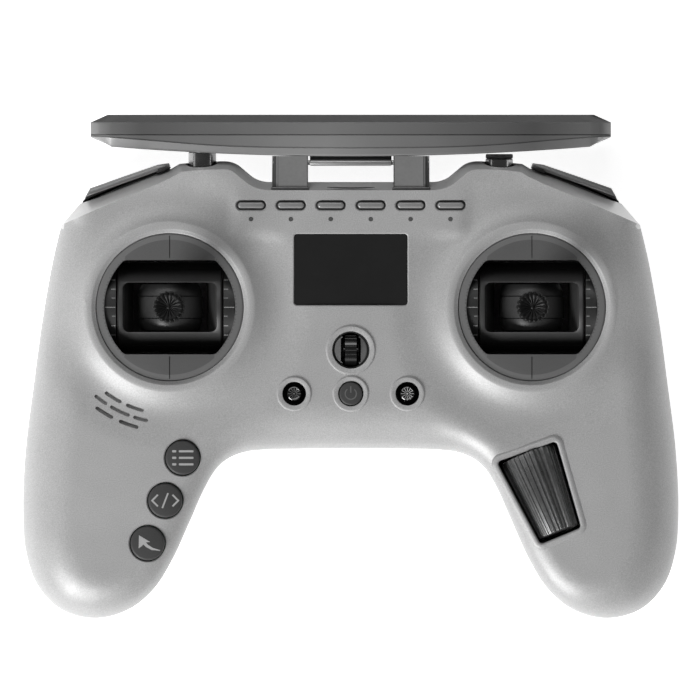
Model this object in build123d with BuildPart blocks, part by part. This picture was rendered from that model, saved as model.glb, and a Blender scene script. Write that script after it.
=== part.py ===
from build123d import *
import os
from math import cos, radians, sin

os.makedirs("parts", exist_ok=True)

# Handheld radio transmitter, lying on its back. +X right, +Y towards the antenna, +Z out of the face.
# The rear shell rests on Z = 0 and the parting line of the two shells is at PART_Z. Millimetres.

# ---------------------------------------------------------------- driving dimensions
FACE_Z = 40.0  # outer surface of the front shell
PART_Z = 22.0  # parting plane
WALL = 2.0
SIDE_WALL = 2.2
FRONT_EDGE_R = 6.0
REAR_EDGE_R = 13.0
INNER_Z = FACE_Z - WALL
TOP_SLOPE = (2.2, 10.0)  # fall of the sloped top band along Y and along Z

GIMBAL_X = 47.05
GIMBAL_Y = 15.4
PIVOT_Z = 28.0  # both gimbal axes
FACEPLATE_R = 19.15
WELL_R = 19.5
OPENING_R = 17.0
OPENING_HALF_Y = 12.25
DRUM_R = 11.6
DRUM_WALL = 1.4
CRADLE_HALF_X = 13.6
WINDOW_X = 24.5
WINDOW_Y = 12.9
ROLL_DRUM_R = 8.45
STICK_R = 1.9
STICK_TOP = 62.0
CROWN_R = 4.2
EAR_OFFSET = 15.0
RING_R = 19.1

SCREEN_Y = 25.2
SCREEN = (29.5, 18.5)
PILL_X = (-25.9, -15.55, -5.2, 5.2, 15.55, 25.9)
PILL_Y = 41.9
PILL_SLOT = (7.8, 2.6)
LED_Y = 38.3
SCROLL_Y = 4.3
SCROLL_HOLE_R = 4.85
SCROLL_R = 4.2
SCROLL_Z = 37.2
LOW_Y = -7.05  # power button and trim hats
TRIM_X = 14.7
TRIM_PIVOT_Z = 33.0
MENU_SPOTS = {
    "menu_button": (-43.7, -23.7),
    "script_button": (-48.2, -34.8),
    "return_button": (-52.8, -45.9),
}
MENU_R = 4.8

HINGE_Y = 53.0  # antenna hinge pin
HINGE_Z = 38.2
PIN_R = 0.6
ARM_X = (11.05, 20.4)
ARM_END_R = 1.35
WING_Z = (6.0, 41.0)
TOGGLE_X = 38.6
TOGGLE_Z = 33.6
SHOULDER_PIN = (49.0, 49.0)
SHOULDER_Z = (13.0, 35.5)

ROLLER_TOP = (45.7, -22.1, 33.6)  # axis at the wide end
ROLLER_END = (54.5, -43.9, 36.15)  # axis at the narrow end
ROLLER_R = (8.0, 5.45)
ROLLER_WINDOW = [(38.0, -24.8), (53.4, -19.4), (59.8, -41.8), (49.3, -46.1)]

NOTCH_Y = 48.0  # top edge between the shoulders
SHELL_SCREWS = [(33.0, -15.5), (67.0, -54.0), (72.0, 29.0)]
SCREW_HOLE_R = 1.3
SCREW_R = 1.25
BOARD_Z = 22.6  # underside of the main board
BOARD_T = 1.6
BOARD_TOP = BOARD_Z + BOARD_T
KEY_BOARD_Z = 33.0  # underside of the small key boards
KEY_BOARD_T = 1.2
TRAY_X = 31.2
TRAY_Y = (-6.3, 30.3)
TRAY_TOP = 20.6

# Left half of the outline, from the middle of the lower edge round the grip to the shoulder.
GRIP_POINTS = [
    (-24.0, -21.6), (-36.3, -28.0), (-40.2, -36.3), (-47.2, -51.5), (-54.6, -61.0),
    (-66.8, -65.5), (-80.4, -58.5), (-85.0, -42.0), (-82.4, -3.5), (-76.0, 35.0),
]
SHOULDER_POINTS = [
    (-82.0, 29.1), (-70.4, 42.4), (-65.8, 43.9), (-50.1, 50.2),
    (-46.5, 51.4), (-44.0, 52.9), (-31.6, 53.4), (-28.6, 51.9), (-24.8, 49.1), (-21.4, 48.0),
]


def save(part, label):
    """Names a finished piece and writes its file."""
    part.label = label
    export_step(part, f"parts/{label}.step")


# ---------------------------------------------------------------- outlines
def grip_outline(plane, inset=0.0):
    """The rounded outline of both grips, carried on above the shoulders."""
    with BuildSketch(plane) as outline:
        with BuildLine() as half:
            run = Line((0, GRIP_POINTS[0][1]), GRIP_POINTS[0])
            for point in GRIP_POINTS[1:]:
                run = TangentArc(run @ 1, point, tangent=run % 1)
            Polyline(run @ 1, (-68, 68), (0, 68))
            mirror(half.line, about=Plane.YZ)
        make_face()
        if inset:
            offset(amount=-inset, kind=Kind.ARC)
    return outline.sketch


def shoulder_outline(plane, inset=0.0):
    """A large area whose upper edge is the shoulders and the notch for the antenna."""
    with BuildSketch(plane) as outline:
        with BuildLine() as half:
            Polyline((0, -75), (-95, -75), (-95, 29.1), *SHOULDER_POINTS, (0, NOTCH_Y))
            mirror(half.line, about=Plane.YZ)
        make_face()
        if inset:
            offset(amount=-inset, kind=Kind.INTERSECTION)
    return outline.sketch


def both_sides(points):
    """The points and their mirror images about X = 0."""
    return [(side * x, y) for x, y in points for side in (-1, 1)]


# ---------------------------------------------------------------- shells
with BuildPart() as top_limit:
    add(shoulder_outline(Plane.XY.offset(-1.0)))
    extrude(amount=FACE_Z - TOP_SLOPE[1] + 1.0)
    band = Solid.make_loft([
        shoulder_outline(Plane.XY.offset(FACE_Z - TOP_SLOPE[1])).face().outer_wire(),
        shoulder_outline(Plane.XY.offset(FACE_Z), TOP_SLOPE[0]).face().outer_wire(),
    ], ruled=True)
    add(band)
    add(shoulder_outline(Plane.XY.offset(FACE_Z), TOP_SLOPE[0]))
    extrude(amount=2.0)

with BuildPart() as inner_limit:
    add(shoulder_outline(Plane.XY.offset(-1.0), SIDE_WALL + TOP_SLOPE[0]))
    extrude(amount=FACE_Z + 2.0)

with BuildPart() as front_cavity:
    add(grip_outline(Plane.XY.offset(PART_Z - 1.0), SIDE_WALL))
    extrude(amount=INNER_Z - PART_Z + 1.0)
    fillet(front_cavity.faces().sort_by(Axis.Z)[-1].edges().filter_by(lambda e: e.center().Y < 60),
           radius=3.2)
    add(inner_limit.part, mode=Mode.INTERSECT)

with BuildPart() as rear_cavity:
    add(grip_outline(Plane.XY.offset(WALL), SIDE_WALL))
    extrude(amount=PART_Z - WALL + 1.0)
    fillet(rear_cavity.faces().sort_by(Axis.Z)[0].edges().filter_by(lambda e: e.center().Y < 60),
           radius=REAR_EDGE_R - SIDE_WALL)
    add(inner_limit.part, mode=Mode.INTERSECT)


def cut_cylinder(x, y, radius, low, high):
    """A round cutter along Z."""
    return Pos(x, y, (low + high) / 2) * Cylinder(radius, high - low, mode=Mode.PRIVATE)


def block(x0, x1, y0, y1, z0, z1):
    """A plain block given by its corners."""
    centre = Pos((x0 + x1) / 2, (y0 + y1) / 2, (z0 + z1) / 2)
    return centre * Box(x1 - x0, y1 - y0, z1 - z0, mode=Mode.PRIVATE)


def prism(points, low, high):
    """A polygon in X and Y, raised from low to high."""
    face = make_face(Polyline(*points, points[0]))
    return extrude(Plane.XY.offset(low) * face, high - low)


def grown(points, amount):
    """The prism outline of the roller window, moved out by amount."""
    face = make_face(Polyline(*points, points[0]))
    if not amount:
        return face
    return offset(face, amount, kind=Kind.ARC)


def mirrored_pair(left_solid):
    """A left-hand cutter and its mirror image."""
    return [left_solid, mirror(left_solid, about=Plane.YZ)]


roller_seat = grown(ROLLER_WINDOW, 1.9)
# pockets that the shoulder buttons work in, and the bores of their pins
shoulder_pocket = prism([(-73.0, 45.0), (-71.9, 40.0), (-66.0, 40.8), (-50.5, 47.0), (-46.9, 47.6),
                         (-46.9, 54.0), (-60.0, 54.0)], SHOULDER_Z[0] - 0.3, SHOULDER_Z[1] + 0.3)
shoulder_bore = cut_cylinder(-SHOULDER_PIN[0], SHOULDER_PIN[1], 0.75, 11.3, 37.3)
toggle_hole = Pos(-TOGGLE_X, 51.0, TOGGLE_Z) * Rot(90, 0, 0) * Cylinder(4.35, 8.0)
arm_hole = block(-20.95, -10.5, 43.0, 49.0, 28.4, FACE_Z + 0.6)
usb_hole = Pos(0, 47.0, 25.9) * Rot(90, 0, 0) * extrude(SlotOverall(12.2, 6.6), 4.0, both=True)

with BuildPart() as front_shell:
    add(grip_outline(Plane.XY.offset(PART_Z)))
    extrude(amount=FACE_Z - PART_Z)
    face_edges = front_shell.faces().sort_by(Axis.Z)[-1].edges()
    fillet(face_edges.filter_by(lambda e: e.center().Y < 60), radius=FRONT_EDGE_R)
    add(top_limit.part, mode=Mode.INTERSECT)
    # raised collars round the gimbals, the scroll wheel, the hats and the power button
    for x, y, radius, rise in [
        (-GIMBAL_X, GIMBAL_Y, 22.0, 1.4),
        (GIMBAL_X, GIMBAL_Y, 22.0, 1.4),
        (0, SCROLL_Y, 6.3, 0.5),
        (-TRIM_X, LOW_Y, 4.4, 0.5),
        (TRIM_X, LOW_Y, 4.4, 0.5),
        (0, LOW_Y, 4.55, 0.5),
    ]:
        with BuildSketch(Plane.XY.offset(FACE_Z - 0.5)):
            with Locations((x, y)):
                Circle(radius)
        extrude(amount=rise + 0.5)
    add(front_cavity.part, mode=Mode.SUBTRACT)
    # screw bosses: shell screws from the back, gimbal screws behind each well
    with BuildSketch(Plane.XY.offset(PART_Z)):
        with Locations(*both_sides(SHELL_SCREWS)):
            Circle(2.6)
    extrude(amount=INNER_Z + 0.5 - PART_Z)
    ears = [(side * GIMBAL_X + dx, GIMBAL_Y + dy)
            for side in (-1, 1) for dx in (-EAR_OFFSET, EAR_OFFSET) for dy in (-EAR_OFFSET, EAR_OFFSET)]
    with BuildSketch(Plane.XY.offset(36.6)):
        with Locations(*ears):
            Circle(2.6)
    extrude(amount=INNER_Z + 0.5 - 36.6)
    with BuildSketch(Plane.XY.offset(PART_Z)):
        with Locations(*both_sides(SHELL_SCREWS)):
            Circle(SCREW_HOLE_R)
    extrude(amount=12.5, mode=Mode.SUBTRACT)
    with BuildSketch(Plane.XY.offset(36.0)):
        with Locations(*ears):
            Circle(SCREW_HOLE_R)
    extrude(amount=2.8, mode=Mode.SUBTRACT)
    # openings through the face
    with BuildSketch(Plane.XY.offset(INNER_Z - 2.5)):
        with Locations((-GIMBAL_X, GIMBAL_Y), (GIMBAL_X, GIMBAL_Y)):
            Circle(WELL_R)
        with Locations((0, SCREEN_Y)):
            RectangleRounded(*SCREEN, 0.8)
        with Locations(*[(x, PILL_Y) for x in PILL_X]):
            SlotOverall(*PILL_SLOT)
        with Locations(*[(x, LED_Y) for x in PILL_X]):
            Circle(0.6)
        with Locations((0, SCROLL_Y)):
            Circle(SCROLL_HOLE_R)
        with Locations((0, LOW_Y)):
            Circle(3.3)
        with Locations((-TRIM_X, LOW_Y), (TRIM_X, LOW_Y)):
            Circle(3.1)
        with Locations(*MENU_SPOTS.values()):
            Circle(MENU_R + 0.25)
    extrude(amount=7.5, mode=Mode.SUBTRACT)
    # speaker slots on three arcs about the left gimbal: radius, then centre and half length in degrees
    for radius, spans in [
        (27.7, [(32.1, 4.25), (19.1, 4.1)]),
        (30.0, [(36.6, 2.9), (25.6, 4.5), (14.6, 2.9)]),
        (32.3, [(31.8, 3.9), (19.3, 3.95)]),
    ]:
        for middle, half in spans:
            ends = [
                (-GIMBAL_X - radius * sin(radians(a)), GIMBAL_Y - radius * cos(radians(a)))
                for a in (middle - half, middle, middle + half)
            ]
            with BuildSketch(Plane.XY.offset(INNER_Z - 1.0)):
                with BuildLine():
                    slot_path = ThreePointArc(*ends)
                SlotArc(slot_path, 0.73)
            extrude(amount=3.5, mode=Mode.SUBTRACT)
    with BuildSketch(Plane.XY.offset(INNER_Z - 1.0)):
        add(roller_seat)
    extrude(amount=6.0, mode=Mode.SUBTRACT)
    for cutter in (shoulder_pocket, shoulder_bore, toggle_hole, arm_hole):
        add(mirrored_pair(cutter), mode=Mode.SUBTRACT)
    add(usb_hole, mode=Mode.SUBTRACT)
save(front_shell.part, "front_shell")

with BuildPart() as rear_shell:
    add(grip_outline(Plane.XY))
    extrude(amount=PART_Z)
    back_edges = rear_shell.faces().sort_by(Axis.Z)[0].edges()
    fillet(back_edges.filter_by(lambda e: e.center().Y < 60), radius=REAR_EDGE_R)
    add(top_limit.part, mode=Mode.INTERSECT)
    rear_outside = rear_shell.part
    add(rear_cavity.part, mode=Mode.SUBTRACT)
    # battery tray, board standoffs, screw posts and the posts of the side key board
    add(block(-TRAY_X - 2, TRAY_X + 2, TRAY_Y[0] - 2, TRAY_Y[1] + 2, 1.5, TRAY_TOP))
    add(block(-35.5, 35.5, TRAY_Y[0] - 2, TRAY_Y[1] + 2, 1.5, 4.0))
    with BuildSketch(Plane.XY.offset(TRAY_TOP - 1.0)):
        with Locations(*both_sides([(24.0, -5.0), (24.0, 29.0)])):
            Circle(2.2)
    extrude(amount=BOARD_Z - TRAY_TOP + 1.0)
    with BuildSketch(Plane.XY.offset(1.5)):
        with Locations(*both_sides(SHELL_SCREWS)):
            Circle(3.2)
    extrude(amount=PART_Z - 1.5)
    with BuildSketch(Plane.XY.offset(1.5)):
        with Locations((-46.0, -29.3), (-50.5, -40.3)):
            Circle(2.0)
    extrude(amount=KEY_BOARD_Z - 1.5)
    add(block(-TRAY_X, TRAY_X, TRAY_Y[0], TRAY_Y[1], -1.0, TRAY_TOP - 2.0), mode=Mode.SUBTRACT)
    # seat of the sliding battery door, with a groove along each side
    add(block(-33.2, 33.2, -30.0, 31.8, -1.0, 2.1), mode=Mode.SUBTRACT)
    add(block(-34.2, 34.2, -30.0, 31.8, 1.0, 2.1), mode=Mode.SUBTRACT)
    with BuildSketch(Plane.XY.offset(-1.0)):
        with Locations(*both_sides(SHELL_SCREWS)):
            Circle(2.7)
    extrude(amount=9.0, mode=Mode.SUBTRACT)
    with BuildSketch(Plane.XY.offset(-1.0)):
        with Locations(*both_sides(SHELL_SCREWS)):
            Circle(SCREW_HOLE_R)
    extrude(amount=PART_Z + 2.0, mode=Mode.SUBTRACT)
    for cutter in (shoulder_pocket, shoulder_bore, toggle_hole):
        add(mirrored_pair(cutter), mode=Mode.SUBTRACT)
    # the posts near the edge stay inside the rounded back
    add(rear_outside, mode=Mode.INTERSECT)
save(rear_shell.part, "rear_shell")

with BuildPart() as battery_door:
    add(grip_outline(Plane.XY))
    extrude(amount=PART_Z)
    fillet(battery_door.faces().sort_by(Axis.Z)[0].edges().filter_by(lambda e: e.center().Y < 60),
           radius=REAR_EDGE_R)
    add(block(-33.0, 33.0, -17.0, 31.5, 0.0, 2.0), mode=Mode.INTERSECT)
    for side in (-1, 1):
        add(block(side * 33.5 - 0.55, side * 33.5 + 0.55, -6.0, 31.0, 1.15, 1.95))
    # finger ridges
    for row in range(4):
        add(block(-9.0, 9.0, -1.0 + 2.4 * row, 0.2 + 2.4 * row, -0.1, 0.5), mode=Mode.SUBTRACT)
save(battery_door.part, "battery_door")

with BuildPart() as battery_pack:
    add(block(-29.5, 29.5, -5.3, 29.3, 2.4, 17.8))
    fillet(battery_pack.edges().filter_by(Axis.X), radius=4.0)
save(battery_pack.part, "battery_pack")

# ---------------------------------------------------------------- fasteners
with BuildPart() as shell_screws:
    with Locations(*[(x, y, 8.0) for x, y in both_sides(SHELL_SCREWS)]):
        Cylinder(SCREW_R, 24.0, align=(Align.CENTER, Align.CENTER, Align.MIN))
    with Locations(*[(x, y, 8.0) for x, y in both_sides(SHELL_SCREWS)]):
        Cylinder(2.4, 1.8, align=(Align.CENTER, Align.CENTER, Align.MAX))
    with Locations(*[(x, y, 6.2) for x, y in both_sides(SHELL_SCREWS)]):
        Cylinder(1.0, 1.2, align=(Align.CENTER, Align.CENTER, Align.MIN), mode=Mode.SUBTRACT)
save(shell_screws.part, "shell_screws")

with BuildPart() as gimbal_screws:
    with Locations(*[(x, y, 34.4) for x, y in ears]):
        Cylinder(SCREW_R, 4.2, align=(Align.CENTER, Align.CENTER, Align.MIN))
    with Locations(*[(x, y, 34.4) for x, y in ears]):
        Cylinder(1.9, 1.5, align=(Align.CENTER, Align.CENTER, Align.MAX))
save(gimbal_screws.part, "gimbal_screws")

# ---------------------------------------------------------------- electronics
with BuildPart() as main_board:
    add(block(-27.3, 27.3, -18.3, 43.2, BOARD_Z, BOARD_TOP))
    # processor, regulator and radio chips
    add(block(-22.0, -12.0, 15.5, 25.5, BOARD_TOP, BOARD_TOP + 1.0))
    add(block(12.0, 18.0, 30.0, 35.0, BOARD_TOP, BOARD_TOP + 1.2))
save(main_board.part, "main_board")

with BuildPart() as rf_module:
    add(block(-24.0, -6.0, 27.0, 40.0, BOARD_TOP, BOARD_TOP + 0.8))
    add(block(-23.0, -8.5, 28.0, 39.0, BOARD_TOP + 0.8, BOARD_TOP + 3.2))
    with Locations((-7.2, 33.5, BOARD_TOP + 0.8)):
        Cylinder(0.9, 1.2, align=(Align.CENTER, Align.CENTER, Align.MIN))
save(rf_module.part, "rf_module")

with BuildPart() as display_module:
    add(block(-17.2, 17.2, 12.0, 36.8, KEY_BOARD_Z, KEY_BOARD_Z + KEY_BOARD_T))
    add(block(-16.5, 16.5, 15.4, 35.0, KEY_BOARD_Z + KEY_BOARD_T, 36.6))
    for x in (-15.8, 15.8):
        add(cut_cylinder(x, 13.4, 1.2, BOARD_TOP, KEY_BOARD_Z))
save(display_module.part, "display_module")

with BuildPart() as display_window:
    with BuildSketch(Plane.XY.offset(37.9)):
        with Locations((0, SCREEN_Y)):
            RectangleRounded(SCREEN[0] - 0.3, SCREEN[1] - 0.3, 0.7)
    extrude(amount=FACE_Z - 0.6 - 37.9)
    add(block(-16.2, 16.2, SCREEN_Y - 10.8, SCREEN_Y + 10.8, 36.8, 37.9))
save(display_window.part, "display_window")

with BuildPart() as led_light_guides:
    with Locations(*[(x, LED_Y, 34.4) for x in PILL_X]):
        Cylinder(0.5, FACE_Z + 0.05 - 34.4, align=(Align.CENTER, Align.CENTER, Align.MIN))
save(led_light_guides.part, "led_light_guides")

with BuildPart() as top_button_board:
    add(block(-30.5, 30.5, 37.4, 43.3, KEY_BOARD_Z, KEY_BOARD_Z + KEY_BOARD_T))
    for x in (-25.0, 25.0):
        add(cut_cylinder(x, 41.0, 1.3, BOARD_TOP, KEY_BOARD_Z))
save(top_button_board.part, "top_button_board")

menu_run = Plane(origin=(-48.25, -34.8, KEY_BOARD_Z), x_dir=(9.1, 22.2, 0), z_dir=(0, 0, 1))
with BuildPart() as side_button_board:
    with BuildSketch(menu_run):
        RectangleRounded(32.0, 9.6, 1.0)
    extrude(amount=KEY_BOARD_T)
save(side_button_board.part, "side_button_board")

with BuildPart() as key_switches:
    board_top = KEY_BOARD_Z + KEY_BOARD_T
    with Locations(*[(x, PILL_Y, board_top) for x in PILL_X]):
        Box(4.4, 3.2, 0.8, align=(Align.CENTER, Align.CENTER, Align.MIN))
    with Locations(*[(x, y, board_top) for x, y in MENU_SPOTS.values()]):
        Box(4.5, 4.5, 0.8, align=(Align.CENTER, Align.CENTER, Align.MIN))
    with Locations((0, LOW_Y, BOARD_TOP)):
        Box(4.5, 4.5, 1.0, align=(Align.CENTER, Align.CENTER, Align.MIN))
    # five-way switch bases, each a cup for the ball of its hat
    with Locations((-TRIM_X, LOW_Y, BOARD_TOP), (TRIM_X, LOW_Y, BOARD_TOP)):
        Cylinder(3.4, 33.6 - BOARD_TOP, align=(Align.CENTER, Align.CENTER, Align.MIN))
    with Locations((-TRIM_X, LOW_Y, 31.3), (TRIM_X, LOW_Y, 31.3)):
        Cylinder(1.7, 3.0, align=(Align.CENTER, Align.CENTER, Align.MIN), mode=Mode.SUBTRACT)
save(key_switches.part, "key_switches")

with BuildPart() as speaker:
    with Locations((-60.0, -11.7, 33.2)):
        Cylinder(8.4, 3.4, align=(Align.CENTER, Align.CENTER, Align.MIN))
    with Locations((-60.0, -11.7, 36.6)):
        Cylinder(7.2, 1.2, align=(Align.CENTER, Align.CENTER, Align.MIN))
    with Locations((-60.0, -11.7, 37.2)):
        Cylinder(6.0, 1.0, align=(Align.CENTER, Align.CENTER, Align.MIN), mode=Mode.SUBTRACT)
save(speaker.part, "speaker")

with BuildPart() as usb_socket:
    add(block(-4.5, 4.5, 39.4, 46.6, BOARD_TOP, BOARD_TOP + 3.2))
    fillet(usb_socket.edges().filter_by(Axis.Y), radius=1.4)
    with BuildSketch(Plane.XZ.offset(-46.7)):
        with Locations((0, BOARD_TOP + 1.6)):
            SlotOverall(8.3, 2.5)
    extrude(amount=5.5, mode=Mode.SUBTRACT)
    add(block(-3.3, 3.3, 40.4, 45.9, BOARD_TOP + 1.25, BOARD_TOP + 1.95))
save(usb_socket.part, "usb_socket")

# ---------------------------------------------------------------- push buttons
for number, x in enumerate(PILL_X, 1):
    with BuildPart() as pill:
        with BuildSketch(Plane.XY.offset(36.4)):
            with Locations((x, PILL_Y)):
                SlotOverall(9.2, 3.0)
        extrude(amount=1.1)
        with BuildSketch(Plane.XY.offset(37.5)):
            with Locations((x, PILL_Y)):
                SlotOverall(PILL_SLOT[0] - 0.6, PILL_SLOT[1] - 0.6)
        extrude(amount=FACE_Z + 0.7 - 37.5)
        fillet(pill.faces().sort_by(Axis.Z)[-1].edges(), radius=0.5)
        with Locations((x, PILL_Y, 35.7)):
            Cylinder(1.0, 0.8, align=(Align.CENTER, Align.CENTER, Align.MIN))
    save(pill.part, f"pill_button_{number}")

for label, (x, y) in MENU_SPOTS.items():
    with BuildPart() as cap:
        with Locations((x, y, 35.9)):
            Cylinder(5.1, 0.5, align=(Align.CENTER, Align.CENTER, Align.MIN))
        with Locations((x, y, 36.4)):
            Cylinder(MENU_R, FACE_Z + 0.7 - 36.4, align=(Align.CENTER, Align.CENTER, Align.MIN))
        fillet(cap.faces().sort_by(Axis.Z)[-1].edges(), radius=0.5)
        with Locations((x, y, 35.7)):
            Cylinder(1.5, 0.3, align=(Align.CENTER, Align.CENTER, Align.MIN))
    save(cap.part, label)

with BuildPart() as power_button:
    with Locations((0, LOW_Y, 25.9)):
        Cylinder(1.2, 10.8, align=(Align.CENTER, Align.CENTER, Align.MIN))
    with Locations((0, LOW_Y, 36.3)):
        Cylinder(3.9, 1.0, align=(Align.CENTER, Align.CENTER, Align.MIN))
    with Locations((0, LOW_Y, 37.3)):
        Cylinder(3.05, FACE_Z + 0.9 - 37.3, align=(Align.CENTER, Align.CENTER, Align.MIN))
    fillet(power_button.faces().sort_by(Axis.Z)[-1].edges(), radius=0.4)
save(power_button.part, "power_button")

# ---------------------------------------------------------------- trim hats
for side, x in (("left", -TRIM_X), ("right", TRIM_X)):
    with BuildPart() as trim_ball:
        with Locations((x, LOW_Y, TRIM_PIVOT_Z)):
            Sphere(1.3)
    save(trim_ball.part, f"trim_ball_{side}")
    with BuildPart() as trim_hat:
        with Locations((x, LOW_Y, TRIM_PIVOT_Z + 1.5)):
            Cylinder(0.8, 4.0, align=(Align.CENTER, Align.CENTER, Align.MIN))
        with Locations((x, LOW_Y, 38.3)):
            Cylinder(2.0, 2.5, align=(Align.CENTER, Align.CENTER, Align.MIN))
        with BuildSketch(Plane.XY.offset(40.4)):
            with Locations((x, LOW_Y)):
                with PolarLocations(1.45, 12):
                    Rectangle(1.0, 0.22)
        extrude(amount=0.6, mode=Mode.SUBTRACT)
    save(trim_hat.part, f"trim_hat_{side}")

# ---------------------------------------------------------------- scroll wheel
with BuildPart() as scroll_bezel:
    with Locations((0, SCROLL_Y, 39.2)):
        Cylinder(SCROLL_HOLE_R - 0.1, 1.4, align=(Align.CENTER, Align.CENTER, Align.MIN))
    with BuildSketch(Plane.XY.offset(39.0)):
        with Locations((0, SCROLL_Y)):
            RectangleRounded(3.4, 8.4, 0.6)
    extrude(amount=2.0, mode=Mode.SUBTRACT)
save(scroll_bezel.part, "scroll_bezel")

with BuildPart() as scroll_wheel:
    with BuildSketch(Plane.YZ.offset(-1.5)):
        with Locations((SCROLL_Y, SCROLL_Z)):
            Circle(SCROLL_R)
            with PolarLocations(SCROLL_R + 0.15, 24):
                Circle(0.3, mode=Mode.SUBTRACT)
    extrude(amount=3.0)
    with BuildSketch(Plane.YZ.offset(-3.3)):
        with Locations((SCROLL_Y, SCROLL_Z)):
            Circle(0.8)
    extrude(amount=6.6)
save(scroll_wheel.part, "scroll_wheel")

with BuildPart() as scroll_encoder:
    add(block(-4.0, 4.0, SCROLL_Y - 3.6, SCROLL_Y + 3.6, BOARD_TOP, 31.8))
    for x0, x1 in ((-3.4, -1.9), (1.9, 3.4)):
        add(block(x0, x1, SCROLL_Y - 1.6, SCROLL_Y + 1.6, 31.8, 38.6))
    with BuildSketch(Plane.YZ.offset(-5.0)):
        with Locations((SCROLL_Y, SCROLL_Z)):
            Circle(0.86)
    extrude(amount=10.0, mode=Mode.SUBTRACT)
save(scroll_encoder.part, "scroll_encoder")

# ---------------------------------------------------------------- roller knob
roller_axis = Vector(*ROLLER_END) - Vector(*ROLLER_TOP)
roller_plane = Plane(origin=ROLLER_TOP, x_dir=(0.927, 0.374, 0), z_dir=roller_axis)
roller_length = roller_axis.length
with BuildPart() as roller_knob:
    with BuildSketch(roller_plane.offset(1.3)):
        Circle(ROLLER_R[0])
        with PolarLocations(ROLLER_R[0] + 0.1, 20):
            Circle(0.45, mode=Mode.SUBTRACT)
    with BuildSketch(roller_plane.offset(roller_length - 0.3)):
        Circle(ROLLER_R[1])
        with PolarLocations(ROLLER_R[1] + 0.1, 20):
            Circle(0.35, mode=Mode.SUBTRACT)
    loft()
    with BuildSketch(roller_plane.offset(-2.2)):
        Circle(1.2)
    extrude(amount=roller_length + 4.4)
save(roller_knob.part, "roller_knob")

roller_frame_outer = grown(ROLLER_WINDOW, 1.8)
roller_frame_inner = grown(ROLLER_WINDOW, 0.0)
with BuildPart() as roller_frame:
    with BuildSketch(Plane.XY.offset(38.4)):
        add(roller_frame_outer)
        add(roller_frame_inner, mode=Mode.SUBTRACT)
    extrude(amount=2.2)
    for start in (-1.0, roller_length + 0.5):
        with BuildSketch(roller_plane.offset(start)):
            Rectangle(7.0, 4.0)
            with Locations((0, 2.3 if start < 0 else 1.2)):
                Rectangle(7.0, 5.4 if start < 0 else 3.2)
        extrude(amount=1.4)
    with BuildSketch(roller_plane.offset(-3.0)):
        Circle(1.26)
    extrude(amount=roller_length + 6.0, mode=Mode.SUBTRACT)
save(roller_frame.part, "roller_frame")

with BuildPart() as roller_potentiometer:
    with BuildSketch(roller_plane.offset(-6.8)):
        Circle(4.2)
    extrude(amount=4.4)
    with BuildSketch(roller_plane.offset(-6.8)):
        with Locations((0, -4.6)):
            Rectangle(6.0, 2.4)
    extrude(amount=2.0)
save(roller_potentiometer.part, "roller_potentiometer")

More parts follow.
